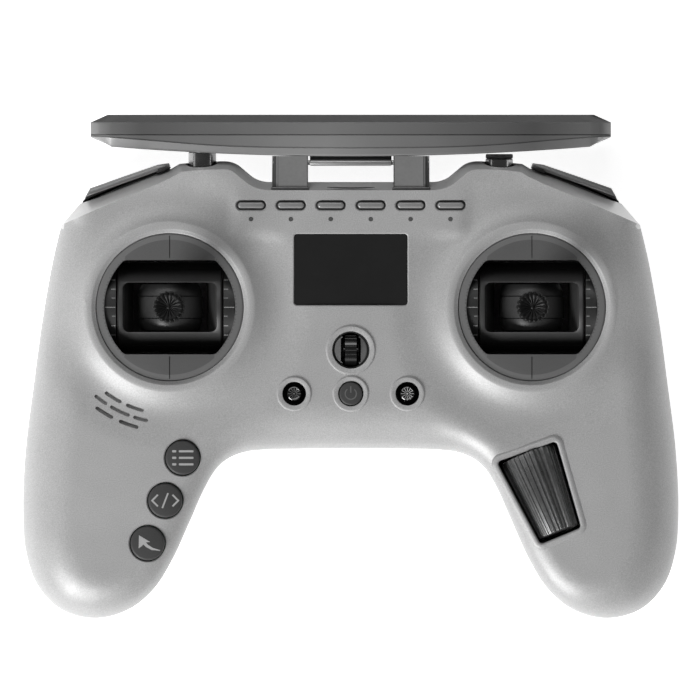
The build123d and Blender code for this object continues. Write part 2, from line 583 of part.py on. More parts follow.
# ---------------------------------------------------------------- gimbals
for side, x in (("left", -GIMBAL_X), ("right", GIMBAL_X)):
    across = Plane(origin=(x, GIMBAL_Y, PIVOT_Z), x_dir=(0, 1, 0), z_dir=(1, 0, 0))
    along = Plane(origin=(x, GIMBAL_Y, PIVOT_Z), x_dir=(-1, 0, 0), z_dir=(0, 1, 0))

    with BuildPart() as faceplate:
        with BuildSketch(Plane.XY.offset(38.7)):
            with Locations((x, GIMBAL_Y)):
                Circle(FACEPLATE_R)
        extrude(amount=1.6)
        with BuildSketch(Plane.XY.offset(38.0)):
            with Locations((x, GIMBAL_Y)):
                Circle(OPENING_R)
                Rectangle(2 * OPENING_R + 1, 2 * OPENING_HALF_Y, mode=Mode.INTERSECT)
        extrude(amount=4.0, mode=Mode.SUBTRACT)
    save(faceplate.part, f"gimbal_faceplate_{side}")

    with BuildPart() as frame:
        with BuildSketch(Plane.XY.offset(20.7)):
            with Locations((x, GIMBAL_Y)):
                Circle(RING_R)
                Circle(RING_R - 0.9, mode=Mode.SUBTRACT)
        extrude(amount=38.6 - 20.7)
        with BuildSketch(Plane.XY.offset(34.5)):
            with Locations(*[(x + dx, GIMBAL_Y + dy)
                             for dx in (-EAR_OFFSET, EAR_OFFSET) for dy in (-EAR_OFFSET, EAR_OFFSET)]):
                Circle(2.6)
            with Locations((x, GIMBAL_Y)):
                Circle(RING_R - 0.5, mode=Mode.SUBTRACT)
        extrude(amount=2.0)
        # cheeks: the fixed scale drums that carry the bearings
        for low, thickness, radius in [
            (-16.8, 2.8, DRUM_R), (14.0, 2.8, DRUM_R), (-18.4, 1.7, DRUM_R - 1.4), (16.7, 1.7, DRUM_R - 1.4),
        ]:
            with BuildSketch(across.offset(low)):
                Circle(radius)
                with Locations((0, -13.0)):
                    Rectangle(30.0, 12.0, mode=Mode.SUBTRACT)
            extrude(amount=thickness)
        with BuildSketch(across.offset(-20.0)):
            Circle(1.56)
        extrude(amount=40.0, mode=Mode.SUBTRACT)
        with BuildSketch(Plane.XY.offset(34.0)):
            with Locations(*[(x + dx, GIMBAL_Y + dy)
                             for dx in (-EAR_OFFSET, EAR_OFFSET) for dy in (-EAR_OFFSET, EAR_OFFSET)]):
                Circle(SCREW_HOLE_R)
        extrude(amount=3.0, mode=Mode.SUBTRACT)
    save(frame.part, f"gimbal_frame_{side}")

    with BuildPart() as outer_cradle:
        with BuildSketch(across.offset(-CRADLE_HALF_X)):
            Circle(DRUM_R)
        extrude(amount=2 * CRADLE_HALF_X)
        with BuildSketch(across.offset(-WINDOW_X / 2)):
            Circle(DRUM_R - DRUM_WALL)
        extrude(amount=WINDOW_X, mode=Mode.SUBTRACT)
        for y in (-7.5, 7.5):
            add(block(x - WINDOW_X / 2, x + WINDOW_X / 2, GIMBAL_Y + y - 0.85, GIMBAL_Y + y + 0.85,
                      PIVOT_Z - 3.5, PIVOT_Z + 6.9))
        add(block(x - 20, x + 20, GIMBAL_Y - 20, GIMBAL_Y + 20, 5.0, PIVOT_Z - 3.5), mode=Mode.SUBTRACT)
        with BuildSketch(Plane.XY.offset(PIVOT_Z + 7.0)):
            with Locations((x, GIMBAL_Y)):
                RectangleRounded(WINDOW_X, WINDOW_Y, 1.5)
        extrude(amount=8.0, mode=Mode.SUBTRACT)
        with BuildSketch(across.offset(-17.2)):
            Circle(1.5)
        extrude(amount=17.2 - WINDOW_X / 2)
        with BuildSketch(across.offset(WINDOW_X / 2)):
            Circle(1.5)
        extrude(amount=17.2 - WINDOW_X / 2)
        with BuildSketch(along.offset(-9.0)):
            Circle(1.36)
        extrude(amount=18.0, mode=Mode.SUBTRACT)
    save(outer_cradle.part, f"gimbal_outer_cradle_{side}")

    with BuildPart() as inner_cradle:
        with BuildSketch(along.offset(-6.3)):
            Circle(ROLL_DRUM_R)
        extrude(amount=12.6)
        add(block(x - 10, x + 10, GIMBAL_Y - 7, GIMBAL_Y + 7, 10.0, PIVOT_Z - 4.5), mode=Mode.SUBTRACT)
        with BuildSketch(along.offset(-8.3)):
            Circle(1.3)
        extrude(amount=16.6)
        with Locations((x, GIMBAL_Y, PIVOT_Z - 3.0)):
            Cylinder(STICK_R + 0.05, 14.0, align=(Align.CENTER, Align.CENTER, Align.MIN), mode=Mode.SUBTRACT)
    save(inner_cradle.part, f"gimbal_inner_cradle_{side}")

    with BuildPart() as stick_shaft:
        with Locations((x, GIMBAL_Y, PIVOT_Z - 3.0)):
            Cylinder(STICK_R, 27.0, align=(Align.CENTER, Align.CENTER, Align.MIN))
        chamfer(stick_shaft.edges().sort_by(Axis.Z)[-1], length=0.4)
    save(stick_shaft.part, f"stick_shaft_{side}")

    with BuildPart() as stick_crown:
        with BuildSketch(Plane.XY.offset(STICK_TOP - 13.0)):
            with Locations((x, GIMBAL_Y)):
                Circle(CROWN_R)
                with PolarLocations(CROWN_R + 0.1, 18):
                    Circle(0.42, mode=Mode.SUBTRACT)
        extrude(amount=13.0)
        with Locations((x, GIMBAL_Y, STICK_TOP - 13.1)):
            Cylinder(STICK_R + 0.03, 3.2, align=(Align.CENTER, Align.CENTER, Align.MIN), mode=Mode.SUBTRACT)
        with Locations((x, GIMBAL_Y, STICK_TOP - 0.8)):
            Cone(0.6, 2.6, 0.8, align=(Align.CENTER, Align.CENTER, Align.MIN), mode=Mode.SUBTRACT)
    save(stick_crown.part, f"stick_crown_{side}")

with BuildPart() as gimbal_sensor_boards:
    for outward in (-1, 1):
        x0 = outward * (GIMBAL_X + 19.2)
        x1 = outward * (GIMBAL_X + 20.4)
        add(block(min(x0, x1), max(x0, x1), GIMBAL_Y - 5.5, GIMBAL_Y + 5.5, PIVOT_Z - 5.0, PIVOT_Z + 5.0))
save(gimbal_sensor_boards.part, "gimbal_sensor_boards")

# ---------------------------------------------------------------- shoulder buttons
shoulder_plate = [(-70.3, 41.9), (-67.8, 46.4), (-59.5, 49.3), (-50.1, 52.5), (-47.3, 52.9), (-47.0, 51.9),
                  (-50.0, 50.6), (-65.9, 44.3), (-69.5, 43.0)]
shoulder_arm = [(-51.5, 50.4), (-51.0, 47.8), (-48.4, 47.8), (-47.8, 50.0), (-48.2, 51.7)]
for side, mirror_x in (("left", 1), ("right", -1)):
    with BuildPart() as shoulder_button:
        for points in (shoulder_plate, shoulder_arm):
            with BuildSketch(Plane.XY.offset(SHOULDER_Z[0])):
                with BuildLine():
                    Polyline(*[(mirror_x * px, py) for px, py in points], close=True)
                make_face()
            extrude(amount=SHOULDER_Z[1] - SHOULDER_Z[0])
        with Locations((-mirror_x * SHOULDER_PIN[0], SHOULDER_PIN[1], SHOULDER_Z[0] - 1.3)):
            Cylinder(0.7, SHOULDER_Z[1] - SHOULDER_Z[0] + 2.6, align=(Align.CENTER, Align.CENTER, Align.MIN))
    save(shoulder_button.part, f"shoulder_button_{side}")

# ---------------------------------------------------------------- toggles
with BuildPart() as toggle_switch_bodies:
    for x in (-TOGGLE_X, TOGGLE_X):
        add(block(x - 4.6, x + 4.6, 38.0, 46.6, TOGGLE_Z - 4.2, TOGGLE_Z + 4.0))
    with BuildSketch(Plane.XZ.offset(-46.6)):
        with Locations((-TOGGLE_X, TOGGLE_Z), (TOGGLE_X, TOGGLE_Z)):
            Circle(3.2)
    extrude(amount=-2.2)
save(toggle_switch_bodies.part, "toggle_switch_bodies")

for side, x, top in (("left", -TOGGLE_X, 55.9), ("right", TOGGLE_X, 54.1)):
    with BuildPart() as toggle_lever:
        with BuildSketch(Plane.XZ.offset(-49.1)):
            with Locations((x, TOGGLE_Z)):
                Circle(1.5)
        extrude(amount=-1.6)
        with BuildSketch(Plane.XZ.offset(-50.6)):
            with Locations((x, TOGGLE_Z)):
                Circle(3.6)
                with PolarLocations(3.75, 9):
                    Circle(0.45, mode=Mode.SUBTRACT)
        extrude(amount=-(top - 50.6))
        if side == "right":
            add(block(x - 3.5, x + 3.6, top, 55.3, TOGGLE_Z - 3.4, TOGGLE_Z - 0.4))
    save(toggle_lever.part, f"toggle_lever_{side}")

# ---------------------------------------------------------------- antenna
for side, sign in (("left", -1), ("right", 1)):
    with BuildPart() as antenna_arm:
        x0, x1 = sorted((sign * ARM_X[0], sign * ARM_X[1]))
        front_z = HINGE_Z + ARM_END_R
        corner = sign * ARM_X[1]
        inside = sign * ARM_X[0]
        # section with its outer front corner bevelled, then the rounded end about the hinge
        with BuildSketch(Plane.XZ.offset(-44.8)):
            with BuildLine():
                Polyline((inside, 29.0), (corner, 29.0), (corner, front_z - 1.6),
                         (corner - sign * 1.6, front_z), (inside, front_z), close=True)
            make_face()
        extrude(amount=-(HINGE_Y + ARM_END_R - 44.8))
        with BuildSketch(Plane.YZ.offset(-25.0)):
            with Locations((HINGE_Y, HINGE_Z)):
                Circle(ARM_END_R)
            with Locations((HINGE_Y - 7.0, HINGE_Z + ARM_END_R - 6.0)):
                Rectangle(14.0, 12.0)
            with Locations((HINGE_Y - 6.0, HINGE_Z - 7.0)):
                Rectangle(12.0 + 2 * ARM_END_R, 14.0)
        extrude(amount=50.0, mode=Mode.INTERSECT)
        add(block(x0 - 0.35, x1 + 0.35, 44.8, 46.7, 28.6, 39.9))
        add(block(x0 + 0.8, x1 - 0.8, 38.4, 45.5, 29.2, 32.4))
        with BuildSketch(Plane.YZ.offset(x0 - 0.5)):
            with Locations((HINGE_Y, HINGE_Z)):
                Circle(PIN_R + 0.02)
        extrude(amount=x1 - x0 + 1.0, mode=Mode.SUBTRACT)
    save(antenna_arm.part, f"antenna_arm_{side}")

with BuildPart() as antenna_hinge_pin:
    with BuildSketch(Plane.YZ.offset(-20.2)):
        with Locations((HINGE_Y, HINGE_Z)):
            Circle(PIN_R)
    extrude(amount=40.4)
save(antenna_hinge_pin.part, "antenna_hinge_pin")


def wing_outline(plane, low, high):
    """The antenna wing seen from the front, between two heights along Y."""
    with BuildSketch(plane) as outline:
        with BuildLine():
            ThreePointArc((-62.2, 57.1), (0, 54.6), (62.2, 57.1))
            Polyline((62.2, 57.1), (67.7, 60.3), (67.7, 63.3), (63.4, 65.5), (-63.4, 65.5),
                     (-67.7, 63.3), (-67.7, 60.3), (-62.2, 57.1))
        make_face()
        with Locations((0, (low + high) / 2)):
            Rectangle(150, high - low, mode=Mode.INTERSECT)
    return outline.sketch


def edge_wedge(points):
    """A cutter along the whole wing whose section in Y and Z is given."""
    face = make_face(Polyline(*points, points[0]))
    return extrude(Plane.YZ.offset(-80) * face, 160)


lower_front = edge_wedge([(53.0, 39.3), (60.3, WING_Z[1]), (60.3, 44.0), (53.0, 44.0)])
lower_back = edge_wedge([(57.0, 5.0), (57.0, 11.0), (60.3, WING_Z[0]), (60.3, 5.0)])
upper_front = edge_wedge([(63.3, WING_Z[1]), (66.0, 37.6), (66.0, 44.0), (63.3, 44.0)])
upper_back = edge_wedge([(63.3, WING_Z[0]), (66.0, 9.4), (66.0, 4.0), (63.3, 4.0)])

with BuildPart() as antenna_housing:
    add(wing_outline(Plane.XY.offset(WING_Z[0]), 50.0, 63.3))
    extrude(amount=WING_Z[1] - WING_Z[0])
    add(block(-80, 80, 50.0, 58.3, 0.0, 38.1), mode=Mode.SUBTRACT)
    add([lower_front, lower_back], mode=Mode.SUBTRACT)
    add(block(-63.0, 63.0, 60.0, 64.0, 9.0, 38.0), mode=Mode.SUBTRACT)
    # hinge barrel between the arms, joined to the front lip
    with BuildSketch(Plane.YZ.offset(-10.7)):
        with Locations((HINGE_Y, HINGE_Z)):
            Circle(1.3)
        with Locations((HINGE_Y + 1.6, HINGE_Z + 0.6)):
            Rectangle(3.2, 1.2)
    extrude(amount=21.4)
    with BuildSketch(Plane.YZ.offset(-11.0)):
        with Locations((HINGE_Y, HINGE_Z)):
            Circle(PIN_R + 0.06)
    extrude(amount=22.0, mode=Mode.SUBTRACT)
save(antenna_housing.part, "antenna_housing")

with BuildPart() as antenna_cover:
    add(wing_outline(Plane.XY.offset(WING_Z[0]), 63.3, 66.0))
    extrude(amount=WING_Z[1] - WING_Z[0])
    add([upper_front, upper_back], mode=Mode.SUBTRACT)
save(antenna_cover.part, "antenna_cover")

with BuildPart() as antenna_board:
    add(block(-61.0, 61.0, 60.0, 61.2, 11.0, 36.0))
    add(block(-4.0, 4.0, 61.2, 62.4, 20.0, 26.0))
save(antenna_board.part, "antenna_board")
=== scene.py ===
import math

import bmesh
import bpy
import numpy as np
from mathutils import Matrix, Vector, geometry, kdtree


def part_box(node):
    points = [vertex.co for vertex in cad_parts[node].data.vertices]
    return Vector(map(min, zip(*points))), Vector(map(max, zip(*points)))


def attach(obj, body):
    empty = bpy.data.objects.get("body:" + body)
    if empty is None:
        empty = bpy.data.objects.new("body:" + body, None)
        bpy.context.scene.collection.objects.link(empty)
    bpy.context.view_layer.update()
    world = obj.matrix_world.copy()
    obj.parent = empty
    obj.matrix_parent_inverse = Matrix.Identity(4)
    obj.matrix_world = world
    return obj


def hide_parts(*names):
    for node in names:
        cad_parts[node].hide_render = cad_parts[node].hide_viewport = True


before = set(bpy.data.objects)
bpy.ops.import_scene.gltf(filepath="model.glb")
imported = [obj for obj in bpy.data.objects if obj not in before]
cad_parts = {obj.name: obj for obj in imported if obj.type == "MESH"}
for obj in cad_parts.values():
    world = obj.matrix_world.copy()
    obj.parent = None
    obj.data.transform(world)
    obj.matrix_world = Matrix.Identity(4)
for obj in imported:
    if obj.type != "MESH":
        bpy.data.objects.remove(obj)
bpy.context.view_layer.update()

# Shapes are worked out in millimetres and scaled by MM when they become meshes.
MM = 0.001


def cad_box(node):
    """A node's lowest and highest corners in millimetres."""
    low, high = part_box(node)
    return np.array(low) / MM, np.array(high) / MM


def cad_centre(node):
    low, high = cad_box(node)
    return (low + high) / 2


# ------------------------------------------------------------------ places taken from the frame
FACE = 40.0  # the flat front face
PARTING = cad_box("front_shell")[0][2]
COLLAR_RISE = cad_box("front_shell")[1][2] - FACE
GIMBALS = {side: cad_centre("gimbal_faceplate_" + side)[:2] for side in ("left", "right")}
PILLS = [cad_centre("pill_button_%d" % n)[:2] for n in range(1, 7)]
KEYS = {name: cad_centre(name)[:2] for name in ("menu_button", "script_button", "return_button")}
POWER = cad_centre("power_button")[:2]
TRIMS = {side: cad_centre("trim_hat_" + side)[:2] for side in ("left", "right")}
SCROLL = cad_centre("scroll_bezel")[:2]
SCREEN = cad_centre("display_window")[:2]
LED_Y = cad_centre("led_light_guides")[1]
DOOR_HIGH = cad_box("battery_door")[1]
TOGGLES = {side: cad_centre("toggle_lever_" + side) for side in ("left", "right")}

SCREEN_SIZE = (29.5, 18.5)
PILL_SIZE = (7.8, 2.6)
ROLLER_WINDOW = [(38.0, -24.8), (49.3, -46.1), (59.8, -41.8), (53.4, -19.4)]
SHELL_SCREWS = [(33.0, -15.5), (67.0, -54.0), (72.0, 29.0)]

# Left half of the shell's outline seen from the front: X, Y, then how far in the rounded edge
# reaches and how deep it falls.
GRIP = [
    (0, -21.3, 13, 8), (-12, -21.4, 13, 8), (-22, -21.6, 12, 7.5), (-27.5, -22.2, 9.5, 7),
    (-31.7, -23.8, 8, 6), (-34.9, -26.4, 7, 5.2), (-38.2, -31.8, 6.5, 5), (-42.3, -41.0, 6.5, 5),
    (-46.5, -50.2, 6.5, 5), (-51.4, -58.0, 7.5, 6), (-58.0, -63.3, 9, 7.5), (-66.8, -65.5, 11, 9.5),
    (-75.6, -63.1, 12, 10.5), (-81.7, -56.7, 13, 11), (-84.6, -48.0, 13, 11),
    (-85.35, -37.8, 13, 11), (-84.7, -22.2, 13, 11), (-82.4, -3.5, 13, 11), (-80.3, 12.1, 12.5, 11),
    (-77.5, 27.7, 11, 9), (-75.3, 36.8, 9, 6.5),
]
SHOULDER = [(-75.3, 36.8), (-70.4, 42.4), (-65.8, 43.9), (-50.1, 50.2), (-46.6, 51.5), (-44.6, 52.7)]
SHOULDER_CREASE = [(-75.3, 36.8), (-65.2, 41.2), (-49.4, 47.75), (-45.9, 49.5), (-43.9, 50.6)]
CREST = [(-44.6, 52.7), (-40.0, 53.2), (-34.5, 53.4), (-31.6, 53.3), (-29.6, 52.6), (-27.2, 50.7),
         (-25.0, 49.0), (-22.6, 48.15), (-19.5, 48.0)]
NOTCH_Y = 48.0
BAND_WIDTH = 2.2  # the sloped band along the top edge
BAND_DROP = 6.5
SKIN = 2.0  # how thick the faces of the shells are
WALL = 2.2  # and the wall that runs round them
GRID_AREA = (-84, -64), (84, 52)  # covers the whole outline


# ------------------------------------------------------------------ curve and area helpers
def smooth_curve(points, step):
    """Samples a centripetal Catmull-Rom curve; columns after X and Y follow along."""
    p = np.array(points, float)
    p = np.vstack([2 * p[0] - p[1], p, 2 * p[-1] - p[-2]])
    out = []
    for i in range(1, len(p) - 2):
        p0, p1, p2, p3 = p[i - 1:i + 3]
        gap = np.linalg.norm(p2[:2] - p1[:2])
        t1 = np.linalg.norm(p1[:2] - p0[:2]) ** 0.5
        t2 = t1 + gap ** 0.5
        t3 = t2 + np.linalg.norm(p3[:2] - p2[:2]) ** 0.5
        for t in np.linspace(t1, t2, max(2, int(round(gap / step))), endpoint=False):
            a1 = (t1 - t) / t1 * p0 + t / t1 * p1
            a2 = (t2 - t) / (t2 - t1) * p1 + (t - t1) / (t2 - t1) * p2
            a3 = (t3 - t) / (t3 - t2) * p2 + (t - t2) / (t3 - t2) * p3
            b1 = (t2 - t) / t2 * a1 + t / t2 * a2
            b2 = (t3 - t) / (t3 - t1) * a2 + (t - t1) / (t3 - t1) * a3
            out.append((t2 - t) / (t2 - t1) * b1 + (t - t1) / (t2 - t1) * b2)
    return np.array(out)


def straight_run(points, step):
    """Samples straight runs between the points, without the last point."""
    out = []
    for a, b in zip(np.array(points[:-1], float), np.array(points[1:], float)):
        count = max(1, int(round(np.linalg.norm(b - a) / step)))
        out += [a + (b - a) * k / count for k in range(count)]
    return np.array(out)


def circle(centre, radius, count=96, start=0.0):
    a = start + np.linspace(0, 2 * np.pi, count, endpoint=False)
    return np.column_stack([centre[0] + radius * np.cos(a), centre[1] + radius * np.sin(a)])


def rounded_polygon(corners, radius, arc=6):
    """A closed outline with every corner turned into a tangent arc."""
    p = np.array(corners, float)
    out = []
    for i in range(len(p)):
        a, b, c = p[i - 1], p[i], p[(i + 1) % len(p)]
        u = (a - b) / np.linalg.norm(a - b)
        v = (c - b) / np.linalg.norm(c - b)
        half = math.acos(np.clip(np.dot(u, v), -1, 1)) / 2
        reach = radius / math.tan(half)
        centre = b + (u + v) / np.linalg.norm(u + v) * radius / math.sin(half)
        s, e = b + u * reach - centre, b + v * reach - centre
        a0 = math.atan2(s[1], s[0])
        turn = (math.atan2(e[1], e[0]) - a0 + math.pi) % (2 * math.pi) - math.pi
        for k in range(arc + 1):
            angle = a0 + turn * k / arc
            out.append(centre + radius * np.array([math.cos(angle), math.sin(angle)]))
    return np.array(out)


def rounded_box(centre, width, height, radius, arc=6):
    x, y = width / 2, height / 2
    corners = [(centre[0] + i * x, centre[1] + j * y) for i, j in ((-1, -1), (1, -1), (1, 1), (-1, 1))]
    return rounded_polygon(corners, radius, arc)


def arc_slot(centre, radius, middle, half, width, count=7, cap=4):
    """A round-ended slot along an arc; angles are degrees from straight down towards -X."""
    def at(r, degrees):
        a = math.radians(degrees)
        return np.array([centre[0] - r * math.sin(a), centre[1] - r * math.cos(a)])
    out = []
    for sign, first, last in ((-1, middle - half, middle + half), (1, middle + half, middle - half)):
        out += [at(radius + sign * width / 2, a) for a in np.linspace(first, last, count)]
        middle_of_end = at(radius, last)
        spoke = out[-1] - middle_of_end
        for k in range(1, cap):
            a = math.pi * k / cap
            turned = np.array([spoke[0] * math.cos(a) - spoke[1] * math.sin(a),
                               spoke[0] * math.sin(a) + spoke[1] * math.cos(a)])
            out.append(middle_of_end + turned)
    return np.array(out)


def inside(points, ring):
    """True for each point inside the closed ring."""
    x, y = points[:, 0], points[:, 1]
    result = np.zeros(len(points), bool)
    for (x1, y1), (x2, y2) in zip(ring, np.roll(ring, -1, axis=0)):
        if y1 != y2:
            result ^= ((y1 > y) != (y2 > y)) & (x < (x2 - x1) * (y - y1) / (y2 - y1) + x1)
    return result


def line_distance(points, line, closed=False):
    """Distance to the line and where along it the nearest place is, as an index with a fraction."""
    a = line if closed else line[:-1]
    b = np.roll(line, -1, axis=0) if closed else line[1:]
    d = b - a
    length2 = np.maximum((d ** 2).sum(1), 1e-12)
    best, index = np.zeros(len(points)), np.zeros(len(points))
    for s in range(0, len(points), 1000):
        rel = points[s:s + 1000, None, :] - a[None]
        t = np.clip((rel * d[None]).sum(2) / length2[None], 0, 1)
        gap = np.linalg.norm(rel - t[..., None] * d[None], axis=2)
        near = gap.argmin(1)
        rows = np.arange(len(near))
        best[s:s + 1000] = gap[rows, near]
        index[s:s + 1000] = near + t[rows, near]
    return best, index


def inset_line(line, amount, closed=True):
    """Moves a line to its left along mitred normals."""
    before = line - np.roll(line, 1, axis=0)
    after = np.roll(line, -1, axis=0) - line
    if not closed:
        before[0], after[-1] = after[0], before[-1]
    n1 = np.column_stack([-before[:, 1], before[:, 0]]) / np.linalg.norm(before, axis=1)[:, None]
    n2 = np.column_stack([-after[:, 1], after[:, 0]]) / np.linalg.norm(after, axis=1)[:, None]
    n = n1 + n2
    n /= np.linalg.norm(n, axis=1)[:, None]
    return line + n * (amount / np.maximum((n * n1).sum(1), 0.5))[:, None]


def ease(t):
    t = np.clip(t, 0, 1)
    return t * t * (3 - 2 * t)


def thin_out(points, keep_clear, gap):
    """The points that are at least gap from the fixed ones."""
    tree = kdtree.KDTree(len(keep_clear))
    for i, (x, y) in enumerate(keep_clear):
        tree.insert((x, y, 0), i)
    tree.balance()
    return np.array([p for p in points if tree.find((p[0], p[1], 0))[2] >= gap])


def hex_grid(low, high, pitch):
    rows = np.arange(low[1], high[1], pitch * 0.866)
    return np.array([(x + (pitch / 2 if k % 2 else 0), y)
                     for k, y in enumerate(rows) for x in np.arange(low[0], high[0], pitch)])


# ------------------------------------------------------------------ mesh helpers
def make_object(name, vertices, faces, sharp=35.0):
    mesh = bpy.data.meshes.new(name)
    mesh.from_pydata((np.array(vertices, float) * MM).tolist(), [], [[int(i) for i in f] for f in faces])
    mesh.validate()
    mesh.update()
    mesh.shade_smooth()
    mesh.set_sharp_from_angle(angle=math.radians(sharp))
    ob = bpy.data.objects.new(name, mesh)
    bpy.context.scene.collection.objects.link(ob)
    return ob


def turn_outwards(ob):
    """Makes every face of a closed mesh point outwards."""
    bm = bmesh.new()
    bm.from_mesh(ob.data)
    bmesh.ops.recalc_face_normals(bm, faces=bm.faces)
    bm.to_mesh(ob.data)
    bm.free()
    ob.data.shade_smooth()


def apply_modifiers(ob, sharp):
    """Turns what the modifiers make into the mesh itself."""
    graph = bpy.context.evaluated_depsgraph_get()
    mesh = bpy.data.meshes.new_from_object(ob.evaluated_get(graph))
    ob.modifiers.clear()
    ob.data = mesh
    mesh.shade_smooth()
    mesh.set_sharp_from_angle(angle=math.radians(sharp))


def combine(ob, others, operation, sharp=35.0):
    """Cuts closed meshes out of a closed mesh, or joins them to it."""
    for other in others:
        modifier = ob.modifiers.new("combine", "BOOLEAN")
        modifier.operation = operation
        modifier.solver = "EXACT"
        modifier.object = other
    apply_modifiers(ob, sharp)
    for other in others:
        bpy.data.objects.remove(other)
    return ob


def cut(ob, cutters, sharp=35.0):
    return combine(ob, cutters, "DIFFERENCE", sharp)


def join(ob, others, sharp=35.0):
    return combine(ob, others, "UNION", sharp)


def prism(name, ring, low, high, sharp=35.0, bevel=0.0, steps=2):
    """A closed prism on an outline, with a rounded top edge when bevel is given."""
    ring = np.array(ring, float)
    x, y = ring[:, 0], ring[:, 1]
    if np.sum(x * np.roll(y, -1) - np.roll(x, -1) * y) < 0:
        ring = ring[::-1]
    layers = [(ring, low)]
    if bevel:
        for k in range(steps + 1):
            a = math.pi / 2 * k / steps
            inset = inset_line(ring, bevel * (1 - math.cos(a)))
            layers.append((inset, high - bevel * (1 - math.sin(a))))
    else:
        layers.append((ring, high))
    return stack(name, layers, sharp)


def row_faces(count, rows, closed, wrapped):
    """Faces between rows of points; closed joins the ends of a row, wrapped the last row to the first."""
    return [[k * count + i, k * count + (i + 1) % count, (k + 1) % rows * count + (i + 1) % count,
             (k + 1) % rows * count + i]
            for k in range(rows if wrapped else rows - 1) for i in range(count if closed else count - 1)]


def capped(name, rows, sharp=35.0):
    """A closed solid through closed rows of X, Y, Z points, from the lowest up."""
    count = len(rows[0])
    faces = [list(range(count))[::-1], [(len(rows) - 1) * count + i for i in range(count)]]
    return make_object(name, np.vstack(rows), faces + row_faces(count, len(rows), True, False), sharp)


def stack(name, layers, sharp=35.0):
    """A closed solid through level outlines with the same number of points, from the lowest up."""
    rows = [np.column_stack([ring, np.full(len(ring), z)]) for ring, z in layers]
    return capped(name, rows, sharp)


def triangulate(points, outline, holes, lines=()):
    """Triangles inside the outline and outside the holes, and where each point went."""
    fixed = [outline] + list(holes)
    edges, start, stacked = [], 0, []
    for ring in fixed:
        edges += [(start + i, start + (i + 1) % len(ring)) for i in range(len(ring))]
        stacked.append(ring)
        start += len(ring)
    for line in lines:
        edges += [(start + i, start + i + 1) for i in range(len(line) - 1)]
        stacked.append(line)
        start += len(line)
    everything = np.vstack(stacked + [points])
    done = geometry.delaunay_2d_cdt([Vector(p) for p in everything], edges, [], 0, 1e-7, True)
    flat = np.array([tuple(v) for v in done[0]])
    tri = np.array(done[2])
    middle = flat[tri].mean(1)
    keep = inside(middle, outline)
    for hole in holes:
        keep &= ~inside(middle, hole)
    mapped = np.full(len(everything), -1)
    for new, olds in enumerate(done[3]):
        for old in olds:
            mapped[old] = new
    # a triangle that only bridges an inward corner of the rim lies outside it
    rim = mapped[:len(outline)]
    before, after = np.roll(rim, 1), np.roll(rim, -1)
    u, v = flat[rim] - flat[before], flat[after] - flat[rim]
    turns = u[:, 0] * v[:, 1] - u[:, 1] * v[:, 0]
    bridged = {frozenset(t) for t, turn in zip(zip(before, rim, after), turns) if turn < 0}
    keep &= np.array([frozenset(t) not in bridged for t in tri])
    return flat, tri[keep], mapped


# ------------------------------------------------------------------ the two shells
def mirrored(left):
    """A left half line, from the middle of the lower edge to the middle of the top, made whole."""
    right = left[1:-1][::-1].copy()
    right[:, 0] *= -1
    return np.vstack([left, right])[::-1].copy()


def edge_lines(step=0.9):
    """The left edge: grip curve with its rounding, then the top band and its crease."""
    grip = smooth_curve(GRIP, step)
    crest = smooth_curve(CREST, step * 0.7)
    notch = straight_run([CREST[-1], (0, NOTCH_Y)], step)
    tail = np.vstack([crest, notch, [(0, NOTCH_Y)]])
    top = np.vstack([straight_run(SHOULDER, step), tail])
    crease = np.vstack([straight_run(SHOULDER_CREASE, step), inset_line(tail, -BAND_WIDTH, False)])
    crease[-1] = (0, NOTCH_Y - BAND_WIDTH)
    return grip, top, crease


GRIP_LINE, TOP_LINE, CREASE_LINE = edge_lines()
OUTLINE = mirrored(np.vstack([GRIP_LINE[:, :2], TOP_LINE]))


def side_drop(points):
    """How far the rounded grip edge lies below the face."""
    folded = np.column_stack([-np.abs(points[:, 0]), points[:, 1]])
    line = np.vstack([GRIP_LINE, [GRIP[-1]]])
    gap, index = line_distance(folded, line[:, :2])
    reach = np.interp(index, np.arange(len(line)), line[:, 2])
    depth = np.interp(index, np.arange(len(line)), line[:, 3])
    t = np.clip(1 - gap / reach, 0, 1)
    return depth * (1 - np.sqrt(1 - t * t))


VALLEY = 0.85  # how deep the face dips round the gimbal mounds
COLLAR_R = 22.05  # outer edge of the flat collar round a gimbal
MOUND_REACH = 7.2  # from there down the mound to the valley
VALLEY_REACH = 8.5  # and from the valley back up to the face
# the low raised rings round the small controls: centre and outer radius
RAISED_RINGS = [(SCROLL, 6.3), (POWER, 4.55)] + [(c, 4.4) for c in TRIMS.values()]
GIMBAL_HOLE_R, LED_R, KEY_HOLE_R = 19.25, 0.6, 4.72
WHEEL_HOLE_R, POWER_HOLE_R, HAT_HOLE_R = 4.85, 3.3, 3.1
RIM_WIDTH = 0.28  # the rounded edge of an opening, and how far it falls
RIM_DROP = 0.22


